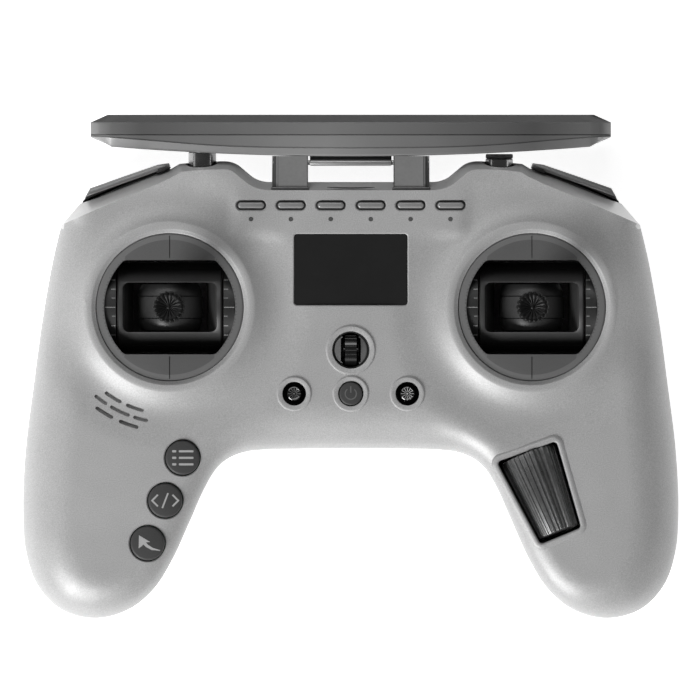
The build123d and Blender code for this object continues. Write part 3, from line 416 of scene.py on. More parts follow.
def face_height(points):
    """The height of the front face, with its mounds and raised collars."""
    z = FACE - side_drop(points)
    # the valley fades out towards the row of pill keys, which lie in a flat strip
    valley = VALLEY * (1 - ease((32.5 - np.abs(points[:, 0])) / 5) * ease((points[:, 1] - 32) / 4))
    for centre in GIMBALS.values():
        r = np.linalg.norm(points - centre, axis=1)
        slope = (COLLAR_RISE + valley) * (1 - np.clip((r - COLLAR_R) / MOUND_REACH, 0, 1)) ** 2.1 - valley
        foot = COLLAR_R + MOUND_REACH
        mound = np.where(r < foot, slope, -valley * (1 - ease((r - foot) / VALLEY_REACH)))
        z += np.where(r > COLLAR_R, mound, 0)
        on_collar = FACE + COLLAR_RISE - ease((20.3 - r) / 0.95)
        z = np.where(r <= COLLAR_R, on_collar, z)
    for centre, radius in RAISED_RINGS:
        r = np.linalg.norm(points - centre, axis=1)
        z = np.where(r < radius + 0.25, z + 0.5 * (1 - ease((r - radius + 0.15) / 0.35)), z)
    return z


# which openings have a rounded edge, by number: screen and pills, then wheel, power, hats and keys
SOFT_HOLES = {*range(2, 9), *range(15, 22)}


def face_holes():
    """The openings: gimbals, screen, pills, LEDs, wheel, power, hats, keys, speaker slots, roller."""
    holes = [circle(c, GIMBAL_HOLE_R, 180) for c in GIMBALS.values()]
    holes.append(finer(rounded_box(SCREEN, SCREEN_SIZE[0], SCREEN_SIZE[1], 0.8, 5)))
    pill_round = PILL_SIZE[1] / 2 - 0.01
    holes += [finer(rounded_box(c, PILL_SIZE[0], PILL_SIZE[1], pill_round, 10)) for c in PILLS]
    holes += [circle((c[0], LED_Y), LED_R, 20) for c in PILLS]
    holes += [circle(SCROLL, WHEEL_HOLE_R, 64), circle(POWER, POWER_HOLE_R, 48)]
    holes += [circle(c, HAT_HOLE_R, 48) for c in TRIMS.values()]
    holes += [circle(c, KEY_HOLE_R, 64) for c in KEYS.values()]
    for radius, spans in ((27.7, ((32.1, 4.25), (19.1, 4.1))),
                          (30.0, ((36.6, 2.9), (25.6, 4.5), (14.6, 2.9))),
                          (32.3, ((31.8, 3.9), (19.3, 3.95)))):
        holes += [arc_slot(GIMBALS["left"], radius, middle, half, 0.95) for middle, half in spans]
    holes.append(rounded_polygon(grown(ROLLER_WINDOW, 0.75), 1.6, 6))
    return holes


def finer(ring):
    """A closed line with points along its straight sides too."""
    return straight_run(np.vstack([ring, ring[:1]]), 0.7)


def grown(corners, amount):
    """A counter-clockwise polygon moved outwards."""
    return inset_line(np.array(corners, float), -amount)


def inner_ring(amount):
    """The outline moved inwards, without the folds that corners leave."""
    ring = inset_line(OUTLINE, amount)
    distance, _ = line_distance(ring, OUTLINE, True)
    ring = ring[distance > amount * 0.9995]
    for _ in range(3):
        before, after = ring - np.roll(ring, 1, axis=0), np.roll(ring, -1, axis=0) - ring
        ring = ring[(before * after).sum(1) > 0]
    return ring


def clear_of(points, rings):
    """The points that lie outside all of the rings."""
    for ring in rings:
        points = points[~inside(points, ring)]
    return points


def front_shell():
    holes = face_holes()
    soft = holes[2:9]
    keep_off = [inset_line(hole, -0.55) for hole in soft]
    keep_off += [circle((c[0], LED_Y), 0.95, 20) for c in PILLS]
    crease = mirrored(np.vstack([GRIP_LINE[:, :2], CREASE_LINE]))
    crease_line = np.vstack([CREASE_LINE[1:], CREASE_LINE[1:-1][::-1] * [-1, 1]])
    # rows of points that follow the rounded edges, the collars and the mounds
    extra = []
    whole_grip = np.vstack([GRIP_LINE[::-1, :2], GRIP_LINE[1:, :2] * [-1, 1]])
    for gap in (0.12, 0.4, 0.9, 1.6, 2.6, 3.9, 5.5, 7.5, 10.0):
        row = inset_line(whole_grip, gap, False)
        distance, _ = line_distance(row, OUTLINE, True)
        row = row[(distance > gap * 0.97) & inside(row, crease)]
        extra.append(thin_out(row, np.vstack(holes + [crease_line]), 0.45))
    edge_rows = list(extra)
    for centre in GIMBALS.values():
        for radius in (19.35, 19.6, 19.9, 20.2, 20.4, 21.2, 21.95, 22.1, 22.4, 22.9, 23.8, 24.9, 26.1, 27.3,
                       28.5, 29.9, 31.4, 33.0):
            ring = circle(centre, radius, 180 if radius < 23 else 150, radius)
            ring = clear_of(ring[inside(ring, crease)], keep_off)
            extra.append(thin_out(ring, np.vstack(holes[2:] + edge_rows + [crease_line]), 0.5))
    for centre, radius in RAISED_RINGS:
        extra += [circle(centre, radius + step, 64) for step in (-0.5, -0.18, 0.0, 0.22, 0.5)]
    extra += [inset_line(hole, -RIM_WIDTH) for hole in soft]
    extra += [circle(c, KEY_HOLE_R + RIM_WIDTH, 64) for c in KEYS.values()]
    extra += [circle((c[0], LED_Y), 0.85, 20) for c in PILLS]
    dense = np.vstack(extra)
    grid = hex_grid(*GRID_AREA, 1.35)
    grid = clear_of(grid[inside(grid, crease)], keep_off)
    grid = thin_out(grid, np.vstack([dense, OUTLINE, crease_line] + holes), 0.75)
    flat, tri, mapped = triangulate(np.vstack([dense, grid]), OUTLINE, holes, [crease_line])

    whole_top = np.vstack([TOP_LINE, (TOP_LINE[:-1] * [-1, 1])[::-1]])
    z = face_height(flat)
    start = len(OUTLINE)
    for number, hole in enumerate(holes):
        if number in SOFT_HOLES:
            z[mapped[start:start + len(hole)]] -= RIM_DROP
        start += len(hole)
    top_gap, _ = line_distance(flat, whole_top)
    z = np.where(top_gap < 1e-4, FACE - BAND_DROP, z)

    # the inside face, within a wall that runs all round
    wall = inner_ring(WALL)
    inner_grid = hex_grid(*GRID_AREA, 4.0)
    inner_grid = inner_grid[inside(inner_grid, inset_line(OUTLINE, 4.2))]
    inner_grid = thin_out(inner_grid, np.vstack([wall] + holes), 1.5)
    flat_in, tri_in, mapped_in = triangulate(inner_grid, wall, holes)
    z_in = face_height(flat_in) - SKIN
    top_gap, _ = line_distance(flat_in, whole_top)
    band = FACE - BAND_DROP + BAND_DROP * np.clip(top_gap / BAND_WIDTH, 0, 1)
    z_in = np.minimum(z_in, band - SKIN)
    return close_shell("shell_front", (flat, z, tri, mapped), (flat_in, z_in, tri_in[:, ::-1], mapped_in),
                       wall, holes, PARTING)


BACK_ROUND = 13.0  # the rounded back edge of the grips
BACK_TOP_ROUND = 1.6  # and the small one along the top
SHELL_GAP = 0.12  # the parting line


def back_height(points):
    """How far the rounded edges rise from the flat back."""
    folded = np.column_stack([-np.abs(points[:, 0]), points[:, 1]])
    side, _ = line_distance(folded, np.vstack([GRIP_LINE[:, :2], [GRIP[-1][:2]]]))
    top, _ = line_distance(folded, TOP_LINE)
    z = np.zeros(len(points))
    for gap, radius in ((side, BACK_ROUND), (top, BACK_TOP_ROUND)):
        t = np.clip(1 - gap / radius, 0, 1)
        z = np.maximum(z, radius * (1 - np.sqrt(1 - t * t)))
    return z


def box_piece(x0, x1, y0, y1, z0, z1):
    return prism("cutter", [(x0, y0), (x1, y0), (x1, y1), (x0, y1)], z0, z1)


def rear_shell():
    extra = []
    for gap in (0.12, 0.4, 0.9, 1.6, 2.6, 3.9, 5.5, 7.5, 10.0, 13.0):
        row = inset_line(OUTLINE, gap)
        distance, _ = line_distance(row, OUTLINE, True)
        extra.append(row[distance > gap * 0.97])
    grid = hex_grid(*GRID_AREA, 2.6)
    grid = thin_out(grid[inside(grid, OUTLINE)], np.vstack(extra + [OUTLINE]), 1.2)
    flat, tri, mapped = triangulate(np.vstack(extra + [grid]), OUTLINE, [])
    wall = inner_ring(WALL)
    inner_grid = hex_grid(*GRID_AREA, 4.0)
    inner_grid = thin_out(inner_grid[inside(inner_grid, inner_ring(4.2))], wall, 1.5)
    flat_in, tri_in, mapped_in = triangulate(inner_grid, wall, [])
    outer = (flat, back_height(flat), tri[:, ::-1], mapped)
    inner = (flat_in, back_height(flat_in) + SKIN, tri_in, mapped_in)
    ob = close_shell("shell_rear", outer, inner, wall, [], PARTING - SHELL_GAP)
    door_x, door_top = DOOR_HIGH[0] - 1.05, DOOR_HIGH[1]
    tray_x, tray_low, tray_high, tray_top = 31.2, -6.3, 30.3, 20.6
    join(ob, [box_piece(-tray_x - 2, tray_x + 2, tray_low - 2, tray_high + 2, 1.5, tray_top)])
    cutters = [
        box_piece(-tray_x, tray_x, tray_low, tray_high, -1.0, tray_top - 2.0),
        box_piece(-door_x - 0.2, door_x + 0.2, -30.0, door_top + 0.3, -1.0, 2.1),
        box_piece(-door_x - 1.2, door_x + 1.2, -30.0, door_top + 0.3, 1.0, 2.1),
    ]
    cutters += [prism("cutter", circle((side * x, y), 2.7, 40), -1.0, 8.0) for x, y in SHELL_SCREWS
                for side in (-1, 1)]
    return cut(ob, cutters + shell_cutters())


def close_shell(name, outer, inner, wall, holes, rim_z):
    """Closes an outer and an inner skin with the walls of the openings, the side walls and the rim.

    A skin is its points, their heights, its triangles and where each fixed point went.
    """
    (flat, z, tri, mapped), (flat_in, z_in, tri_in, mapped_in) = outer, inner
    vertices = [(x, y, h) for (x, y), h in zip(flat, z)]
    first_in = len(vertices)
    vertices += [(x, y, h) for (x, y), h in zip(flat_in, z_in)]
    faces = [list(t) for t in tri] + [[first_in + i for i in t] for t in tri_in]
    rim, wall_in = mapped[:len(OUTLINE)], mapped_in[:len(wall)]
    start, start_in = len(OUTLINE), len(wall)
    for hole in holes:
        a = mapped[start:start + len(hole)]
        b = mapped_in[start_in:start_in + len(hole)] + first_in
        faces += [[a[i], a[(i + 1) % len(a)], b[(i + 1) % len(a)], b[i]] for i in range(len(a))]
        start += len(hole)
        start_in += len(hole)
    low_out = len(vertices)
    vertices += [(x, y, rim_z) for x, y in OUTLINE]
    low_in = len(vertices)
    vertices += [(x, y, rim_z) for x, y in wall]
    n, m = len(OUTLINE), len(wall)
    faces += [[rim[i], rim[(i + 1) % n], low_out + (i + 1) % n, low_out + i] for i in range(n)]
    faces += [[first_in + wall_in[i], first_in + wall_in[(i + 1) % m], low_in + (i + 1) % m, low_in + i]
              for i in range(m)]
    _, tri_rim, mapped_rim = triangulate(np.empty((0, 2)), OUTLINE, [wall])
    back = {new: (low_out + old if old < n else low_in + old - n)
            for old, new in enumerate(mapped_rim) if new >= 0}
    faces += [[back[i] for i in reversed(t)] for t in tri_rim]
    ob = make_object(name, vertices, faces)
    turn_outwards(ob)
    return ob


def along_y(ob, centre):
    """Turns a prism made about the origin so that its Z runs along -Y, then moves it."""
    ob.data.transform(Matrix.Translation(Vector(centre) * MM) @ Matrix.Rotation(math.pi / 2, 4, "X"))
    return ob


SHOULDER_POCKET = [(-74.5, 45.5), (-71.9, 40.0), (-66.0, 40.8), (-50.5, 47.0), (-46.9, 47.6), (-46.9, 54.6),
                   (-60.0, 54.6)]


def mirror_x(points):
    return [(-x, y) for x, y in points]


def shell_cutters():
    """The openings along the top edge: shoulder buttons, toggle switches and the charging socket."""
    out = []
    for points in (SHOULDER_POCKET, mirror_x(SHOULDER_POCKET)):
        out.append(prism("cutter", points, 12.7, 29.8))
    for centre in TOGGLES.values():
        hole = prism("cutter", circle((0, 0), 4.35, 64), -4.5, 4.5)
        out.append(along_y(hole, (centre[0], 52.5, centre[2])))
    socket = prism("cutter", rounded_box((0, 0), 12.2, 6.6, 3.2, 10), -4.0, 4.0)
    out.append(along_y(socket, (0, 48.0, 25.9)))
    return out


# ------------------------------------------------------------------ materials
def new_material(name):
    material = bpy.data.materials.new(name)
    material.use_nodes = True
    tree = material.node_tree
    return material, tree, tree.nodes["Principled BSDF"]


def noise(tree, scale, detail=2.0, rough=0.5, stretch=(1, 1, 1)):
    """A noise over the object's own coordinates, in repeats per metre."""
    where = tree.nodes.new("ShaderNodeTexCoord")
    mapping = tree.nodes.new("ShaderNodeMapping")
    mapping.inputs["Scale"].default_value = stretch
    field = tree.nodes.new("ShaderNodeTexNoise")
    field.inputs["Scale"].default_value = scale
    field.inputs["Detail"].default_value = detail
    field.inputs["Roughness"].default_value = rough
    tree.links.new(where.outputs["Object"], mapping.inputs["Vector"])
    tree.links.new(mapping.outputs["Vector"], field.inputs["Vector"])
    return field.outputs["Fac"]


def ramp(tree, source, stops):
    """A colour ramp; stops are (place, colour or grey)."""
    node = tree.nodes.new("ShaderNodeValToRGB")
    elements = node.color_ramp.elements
    while len(elements) < len(stops):
        elements.new(0.5)
    for element, (place, colour) in zip(elements, stops):
        element.position = place
        element.color = (*colour, 1) if isinstance(colour, tuple) else (colour, colour, colour, 1)
    tree.links.new(source, node.inputs["Fac"])
    return node.outputs["Color"]


def mix(tree, factor, a, b, kind="MIX"):
    node = tree.nodes.new("ShaderNodeMix")
    node.data_type = "RGBA"
    node.blend_type = kind
    for socket, value in (("Factor", factor), ("A", a), ("B", b)):
        wanted = "VALUE" if socket == "Factor" else "RGBA"
        target = [i for i in node.inputs if i.name == socket and i.type == wanted][0]
        if isinstance(value, bpy.types.NodeSocket):
            tree.links.new(value, target)
        elif wanted == "VALUE":
            target.default_value = value
        else:
            target.default_value = (*value, 1) if isinstance(value, tuple) else (value, value, value, 1)
    return [o for o in node.outputs if o.type == "RGBA"][0]


def bump(tree, shader, height, distance, strength=1.0):
    node = tree.nodes.new("ShaderNodeBump")
    node.inputs["Strength"].default_value = strength
    node.inputs["Distance"].default_value = distance
    tree.links.new(height, node.inputs["Height"])
    tree.links.new(node.outputs["Normal"], shader.inputs["Normal"])


def finish(name, colour, rough, metal=0.0, spread=0.12, grain=2600, grain_height=0.00001, rough_spread=0.08,
           coat=0.0, stretch=(1, 1, 1), broad=60, specular=0.5):
    """A moulded, painted or milled surface: fine grain, broad tone changes and uneven gloss."""
    material, tree, shader = new_material(name)
    fine = noise(tree, grain, 2.0, 0.6, stretch)
    wide = noise(tree, broad, 4.0, 0.6)
    tone = colour if isinstance(colour, tuple) else (colour, colour, colour)
    dark = tuple(c * (1 - spread) for c in tone)
    light = tuple(min(1, c * (1 + spread)) for c in tone)
    speckle = ramp(tree, fine, [(0.3, dark), (0.7, light)])
    patches = ramp(tree, wide, [(0.3, 0.94), (0.7, 1.0)])
    shade = mix(tree, 1.0, speckle, patches, "MULTIPLY")
    tree.links.new(shade, shader.inputs["Base Color"])
    smooth, dull = max(0.02, rough - rough_spread), min(1.0, rough + rough_spread)
    gloss = ramp(tree, wide, [(0.25, smooth), (0.75, dull)])
    tree.links.new(gloss, shader.inputs["Roughness"])
    shader.inputs["Metallic"].default_value = metal
    shader.inputs["Specular IOR Level"].default_value = specular
    if coat:
        shader.inputs["Coat Weight"].default_value = coat
        shader.inputs["Coat Roughness"].default_value = 0.08
    bump(tree, shader, fine, grain_height, 0.8)
    return material


def circuit_board():
    """Green solder mask with faint tracks and pads."""
    material, tree, shader = new_material("circuit_board")
    where = tree.nodes.new("ShaderNodeTexCoord")
    tracks = tree.nodes.new("ShaderNodeTexBrick")
    tracks.inputs["Scale"].default_value = 420
    tracks.inputs["Mortar Size"].default_value = 0.03
    tracks.inputs["Color1"].default_value = (0.012, 0.075, 0.03, 1)
    tracks.inputs["Color2"].default_value = (0.01, 0.06, 0.028, 1)
    tracks.inputs["Mortar"].default_value = (0.03, 0.15, 0.06, 1)
    tree.links.new(where.outputs["Object"], tracks.inputs["Vector"])
    wide = noise(tree, 900)
    pads = ramp(tree, wide, [(0.62, 0.0), (0.66, 0.7)])
    shade = mix(tree, pads, tracks.outputs["Color"], (0.55, 0.38, 0.12))
    tree.links.new(shade, shader.inputs["Base Color"])
    shader.inputs["Roughness"].default_value = 0.35
    bump(tree, shader, tracks.outputs["Fac"], 0.00003, 0.5)
    return material


def wrapped_cell():
    """The battery's printed shrink wrap with its folds."""
    material, tree, shader = new_material("battery_wrap")
    folds = noise(tree, 240, 3, 0.6, (0.3, 2.0, 1.0))
    shade = ramp(tree, folds, [(0.3, (0.02, 0.05, 0.12)), (0.7, (0.03, 0.07, 0.16))])
    tree.links.new(shade, shader.inputs["Base Color"])
    shader.inputs["Roughness"].default_value = 0.28
    bump(tree, shader, folds, 0.00025, 0.6)
    return material


def painted_reflection_lacquer(name, dark, light):
    """Metallic lacquer with a painted reflection: its tone comes and goes along the length of the wing."""
    material, tree, shader = new_material(name)
    where = tree.nodes.new("ShaderNodeTexCoord")
    axes = tree.nodes.new("ShaderNodeSeparateXYZ")
    tree.links.new(where.outputs["Object"], axes.inputs["Vector"])
    along = tree.nodes.new("ShaderNodeMapRange")
    along.inputs["From Min"].default_value = -0.068
    along.inputs["From Max"].default_value = 0.068
    tree.links.new(axes.outputs["X"], along.inputs["Value"])
    # painted reflection: the tone swings light and dark along the wing, standing in for reflections of the
    # lamps
    reflection_tones = [(0.0, light), (0.1, dark * 1.25), (0.45, light), (0.85, dark), (1.0, light * 0.8)]
    reflection_sweep = ramp(tree, along.outputs["Result"], reflection_tones)
    flake = ramp(tree, noise(tree, 5200, 2.0, 0.7), [(0.3, 0.93), (0.7, 1.0)])
    tree.links.new(mix(tree, 1.0, reflection_sweep, flake, "MULTIPLY"), shader.inputs["Base Color"])
    gloss = ramp(tree, noise(tree, 60, 4.0), [(0.25, 0.3), (0.75, 0.38)])
    tree.links.new(gloss, shader.inputs["Roughness"])
    shader.inputs["Metallic"].default_value = 0.55
    shader.inputs["Coat Weight"].default_value = 0.15
    return material


# after its name, each finish has tone, roughness, metallic, spread of the tone, repeats of the grain
# per metre, height of the grain in metres and spread of the roughness
MATERIALS = {
    "shell": finish("sandblasted_shell", 0.47, 0.46, 0.2, 0.16, 3600, 0.000025, 0.04),
    # the top band's finish: smoother than the shell, and lighter as painted light
    "shell_band_painted_light": finish("smooth_shell_painted_light", 0.74, 0.42, 0.15, 0.03, 1500, 0.000003, 0.04),
    "dark_plastic": finish("moulded_dark_plastic", 0.022, 0.42, 0.0, 0.2, 2400, 0.000012, 0.1),
    "faceplate": finish("gimbal_faceplate_satin", 0.105, 0.5, 0.0, 0.06, 3200, 0.000008, 0.05),
    "gloss_black": finish("gloss_black", 0.008, 0.12, 0.0, 0.2, 400, 0.000002, 0.05, coat=0.6),
    "drum": finish("gimbal_drum_satin", 0.05, 0.42, 0.1, 0.12, 1800, 0.000004, 0.06, stretch=(1, 4, 1)),
    "gunmetal": finish("gunmetal_lacquer", 0.16, 0.3, 0.85, 0.06, 1200, 0.000003, 0.06, coat=0.3),
    "window": finish("smoked_window", 0.012, 0.34, 0.0, 0.05, 900, 0.000001, 0.03),
    "key_rubber": finish("key_rubber", 0.045, 0.55, 0.0, 0.1, 3000, 0.000012, 0.08),
    "pill_cap": finish("pill_cap_satin", 0.36, 0.36, 0.4, 0.06, 2600, 0.000006, 0.05),
    "light_guide": finish("light_guide", 0.10, 0.3, 0.0, 0.08, 1600, 0.000003, 0.05),
    "board": circuit_board(),
    "component": finish("chip_epoxy", 0.03, 0.5, 0.0, 0.12, 2600, 0.00001, 0.08),
    "shield": finish("tinned_shield", 0.55, 0.28, 1.0, 0.06, 900, 0.000005, 0.08),
    "steel": finish("bright_steel", 0.5, 0.25, 1.0, 0.08, 900, 0.000004, 0.1, stretch=(1, 1, 12)),
    "roller": finish("ribbed_roller", 0.15, 0.3, 0.55, 0.15, 900, 0.000006, 0.08),
    "icon": finish("printed_icon", 0.42, 0.5, 0.0, 0.05, 3000, 0.000004, 0.05),
    "battery_wrap": wrapped_cell(),
    "shoulder": finish("shoulder_lacquer", 0.34, 0.3, 0.6, 0.08, 1200, 0.000003, 0.06, coat=0.3),
    "wing": painted_reflection_lacquer("wing_lacquer_painted_reflection", 0.16, 0.36),
    "arm": finish("bracket_lacquer", 0.36, 0.32, 0.5, 0.04, 1400, 0.000002, 0.04, coat=0.2),
    "bar": finish("satin_bar", 0.42, 0.3, 0.7, 0.05, 1400, 0.000003, 0.05),
    "toggle": finish("fluted_steel", 0.30, 0.22, 1.0, 0.06, 900, 0.000003, 0.06, stretch=(1, 14, 1)),
    "key_light": finish("power_symbol", 0.13, 0.45, 0.0, 0.05, 2600, 0.000003, 0.05),
    "crown": finish("stick_rubber", 0.006, 0.4, 0.0, 0.2, 2400, 0.000006, 0.06, specular=0.18),
    "wing_cover": finish("wing_cover_satin", 0.03, 0.4, 0.2, 0.06, 1400, 0.000002, 0.04, specular=0.25),
    # a lighter copy of the faceplate finish for its outer rim: painted light on the bevel
    "faceplate_rim_painted_light": finish("gimbal_rim_painted_light", 0.16, 0.45, 0.0, 0.05, 3200, 0.000006, 0.05),
    "cheek": finish("scroll_cheek", 0.17, 0.4, 0.2, 0.08, 2600, 0.000005, 0.05),
    "cloth": finish("speaker_cloth", 0.34, 0.7, 0.0, 0.3, 5200, 0.00004, 0.05),
}


def paint(ob, name):
    ob.data.materials.clear()
    ob.data.materials.append(MATERIALS[name])


def place(ob, body, finish_name, *nodes):
    """A finished piece: its body, its finish and the CAD nodes that it stands for."""
    paint(ob, finish_name)
    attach(ob, body)
    if nodes:
        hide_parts(*nodes)


# the nodes that are carried over from the frame; all others are replaced below
CAD_FINISH = {
    "battery_door": "shell", "battery_pack": "battery_wrap", "shell_screws": "steel",
    "gimbal_screws": "steel", "main_board": "board", "rf_module": "shield",
    "display_module": "component", "display_window": "window",
    "led_light_guides": "light_guide", "top_button_board": "board", "side_button_board": "board",
    "key_switches": "component", "speaker": "component", "usb_socket": "steel",
    "scroll_wheel": "gloss_black", "scroll_encoder": "component", "roller_potentiometer": "component",
    "gimbal_sensor_boards": "board", "toggle_switch_bodies": "component", "antenna_hinge_pin": "steel",
    "antenna_board": "board",
}
for side in ("left", "right"):
    CAD_FINISH.update({"trim_ball_" + side: "steel", "gimbal_frame_" + side: "dark_plastic",
                       "stick_shaft_" + side: "steel"})
for node, finish_name in CAD_FINISH.items():
    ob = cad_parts[node]
    paint(ob, finish_name)
    ob.data.shade_smooth()
    ob.data.set_sharp_from_angle(angle=math.radians(30))


# ------------------------------------------------------------------ pieces
def merged(name, parts, sharp=35.0):
    """Several meshes as one piece."""
    vertices, faces = [], []
    for part in parts:
        start = len(vertices)
        vertices += [tuple(v.co / MM) for v in part.data.vertices]
        faces += [[start + i for i in polygon.vertices] for polygon in part.data.polygons]
        bpy.data.objects.remove(part)
    return make_object(name, vertices, faces, sharp)


def soften(ob, width, angle):
    """Rounds the edges of a mesh that are sharper than the angle."""
    modifier = ob.modifiers.new("soften", "BEVEL")
    modifier.width = width * MM
    modifier.segments = 2
    modifier.limit_method = "ANGLE"
    modifier.angle_limit = math.radians(angle)
    modifier.use_clamp_overlap = True
    apply_modifiers(ob, 30)


def turn(ob, matrix):
    ob.data.transform(matrix)
    return ob


def shift(x, y, z):
    return Matrix.Translation(Vector((x, y, z)) * MM)


def frame_matrix(origin, axis, side=(1, 0, 0)):
    """A matrix that takes Z to the axis and sets the origin, in millimetres."""
    w = Vector(axis).normalized()
    u = Vector(side)
    u = (u - w * u.dot(w)).normalized()
    v = w.cross(u)
    matrix = Matrix((u, v, w)).transposed().to_4x4()
    matrix.translation = Vector(origin) * MM
    return matrix


def lathe(name, profile, count, shape=None, sharp=35.0):
    """A closed solid turned about Z; profile is (radius, height) from the lowest up."""
    layers = []
    angles = np.linspace(0, 2 * np.pi, count, endpoint=False)
    for radius, z in profile:
        r = radius * (shape(angles) if shape else 1.0)
        layers.append((np.column_stack([r * np.cos(angles), r * np.sin(angles)]), z))
    return stack(name, layers, sharp)


ICON_HALF = 0.05  # half the thickness of a symbol


def stroke(name, points, width, z):
    """A flat bar of even width along a line, used for symbols."""
    line = np.array(points, float)
    left = inset_line(line, width / 2, False)
    right = inset_line(line, -width / 2, False)
    return prism(name, np.vstack([left, right[::-1]]), z - ICON_HALF, z + ICON_HALF)


# shells
front = cut(front_shell(), shell_cutters())
place(front, "root_body", "shell", "front_shell")
front.data.materials.append(MATERIALS["shell_band_painted_light"])
# the sloped band along the top edge is smooth, and its lighter tone is painted light
for polygon in front.data.polygons:
    if polygon.center.y > 0.036 and 0.1 < polygon.normal.z < 0.5 and polygon.center.z > 0.0298:
        polygon.material_index = 1
place(rear_shell(), "root_body", "shell", "rear_shell")


# ------------------------------------------------------------------ gimbals
OPENING_R, OPENING_Y = 17.0, 12.25
DRUM_R, DRUM_HALF = 11.6, 13.6
GROOVE_Y = 9.9
INNER_R = 8.45
PIVOT_Z = 28.0
MARK_START = 14.1  # how far from the middle the scale marks begin


def opening_outline(centre):
    """The round opening with its flat top and bottom and eased corners."""
    reach = math.radians(44.0)
    right = [(OPENING_R * math.cos(a), OPENING_R * math.sin(a)) for a in np.linspace(-reach, reach, 28)]
    corner = [(11.7, 12.15), (11.1, OPENING_Y)]
    ring = right + corner + [(-x, y) for x, y in corner[::-1]]
    ring += [(-x, y) for x, y in right[::-1]] + [(-x, -y) for x, y in corner]
    ring += [(x, -y) for x, y in corner[::-1]]
    return np.array(ring) + centre


def faceplate(side):
    """The plate round a gimbal, with a dropped edge and a seam above and below the opening."""
    centre = GIMBALS[side]
    hole = opening_outline(centre)
    ridge_r, lip_r = 17.55, 18.75
    outer = circle(centre, 19.1, 160)
    ridge = circle(centre, ridge_r, 160, 0.01)
    hole_gap, _ = line_distance(ridge, hole, True)
    keep = ridge[(hole_gap > 0.2) & ~inside(ridge, hole)]
    lip = circle(centre, lip_r, 160)
    flat, tri, mapped = triangulate(np.vstack([keep, lip]), outer, [hole])
    r = np.linalg.norm(flat - centre, axis=1)
    top = 40.35 - 0.12 * np.clip((r - ridge_r) / 1.2, 0, 1) - 0.2 * np.clip((r - lip_r) / 0.35, 0, 1)
    vertices = [(x, y, z) for (x, y), z in zip(flat, top)] + [(x, y, 38.9) for x, y in flat]
    n = len(flat)
    faces = [list(t) for t in tri] + [[i + n for i in reversed(t)] for t in tri]
    start = 0
    for ring in (outer, hole):
        a = mapped[start:start + len(ring)]
        faces += [[a[i], a[(i + 1) % len(a)], a[(i + 1) % len(a)] + n, a[i] + n] for i in range(len(a))]
        start += len(ring)
    plate = make_object("faceplate_" + side, vertices, faces, 25)
    turn_outwards(plate)
    plate.data.set_sharp_from_angle(angle=math.radians(12))
    seams = [box_piece(centre[0] - 0.11, centre[0] + 0.11, centre[1] + sign * 15.7 - 2.9,
                       centre[1] + sign * 15.7 + 2.9, 39.7, 41.0) for sign in (-1, 1)]
    cut(plate, seams, 12)
    place(plate, "root_body", "faceplate", "gimbal_faceplate_" + side)
    # the outer rim of the plate takes the lighter copy of its finish: painted light on the bevel
    plate.data.materials.append(MATERIALS["faceplate_rim_painted_light"])
    for polygon in plate.data.polygons:
        reach = Vector((polygon.center.x / MM - centre[0], polygon.center.y / MM - centre[1])).length
        polygon.material_index = int(reach > 17.3)


def outer_drum(side):
    """The cradle that pitches: a drum with a window and grooves."""
    x, y = GIMBALS[side]
    across = frame_matrix((x, y, PIVOT_Z), (1, 0, 0), (0, 1, 0))
    profile = [(DRUM_R - 0.4, -DRUM_HALF), (DRUM_R, -DRUM_HALF + 0.4), (DRUM_R, DRUM_HALF - 0.4),
               (DRUM_R - 0.4, DRUM_HALF)]
    drum = turn(lathe("pitch_drum_" + side, profile, 120), across)
    hollow = turn(lathe("cutter", [(DRUM_R - 1.5, -12.25), (DRUM_R - 1.5, 12.25)], 96), across)
    window = prism("cutter", rounded_box((x, y), 24.5, 12.9, 1.7, 6), PIVOT_Z + 3.0, 44.0)
    below = box_piece(x - 20, x + 20, y - 20, y + 20, 5.0, PIVOT_Z - 3.5)
    grooves = []
    for sign in (-1, 1):
        groove_z = math.sqrt(DRUM_R ** 2 - GROOVE_Y ** 2)
        bar = prism("cutter", [(-15, -0.13), (15, -0.13), (15, 0.13), (-15, 0.13)], -0.35, 1.0)
        tilt = Matrix.Rotation(-sign * math.asin(GROOVE_Y / DRUM_R), 4, "X")
        grooves.append(turn(bar, shift(x, y + sign * GROOVE_Y, PIVOT_Z + groove_z) @ tilt))
    cut(drum, [hollow, window, below] + grooves)
    soften(drum, 0.3, 50)
    place(drum, "pitch_cradle_" + side, "drum", "gimbal_outer_cradle_" + side)
    # the slanted walls at both ends of the window, clear of the barrel between them
    wall_outer, wall_half = 12.3, 6.4
    walls = []
    for sign in (-1, 1):
        layers = []
        for inner, z in ((9.65, PIVOT_Z - 1.0), (11.9, PIVOT_Z + 9.0)):
            ring = [(x + sign * inner, y - wall_half), (x + sign * wall_outer, y - wall_half),
                    (x + sign * wall_outer, y + wall_half), (x + sign * inner, y + wall_half)]
            layers.append((ring[::sign], z))
        walls.append(stack("wall", layers))
    place(merged("pitch_window_" + side, walls), "pitch_cradle_" + side, "drum")


def inner_drum(side):
    """The cradle that rolls: a barrel with two seams, which carries the stick."""
    x, y = GIMBALS[side]
    half = [(INNER_R, 2.76), (8.05, 2.78), (8.05, 3.0), (8.35, 3.02), (8.25, 3.9), (7.9, 5.0), (7.3, 6.0),
            (6.6, 6.25)]
    profile = [(r, -h) for r, h in half[::-1]] + half
    drum = turn(lathe("roll_drum_" + side, profile, 120), frame_matrix((x, y, PIVOT_Z), (0, 1, 0)))
    below = box_piece(x - 10, x + 10, y - 8, y + 8, 10.0, PIVOT_Z - 4.5)
    seat = prism("cutter", circle((x, y), 2.9, 48), PIVOT_Z + 7.6, 45.0)
    cut(drum, [below, seat])
    place(drum, "stick_" + side, "drum", "gimbal_inner_cradle_" + side)


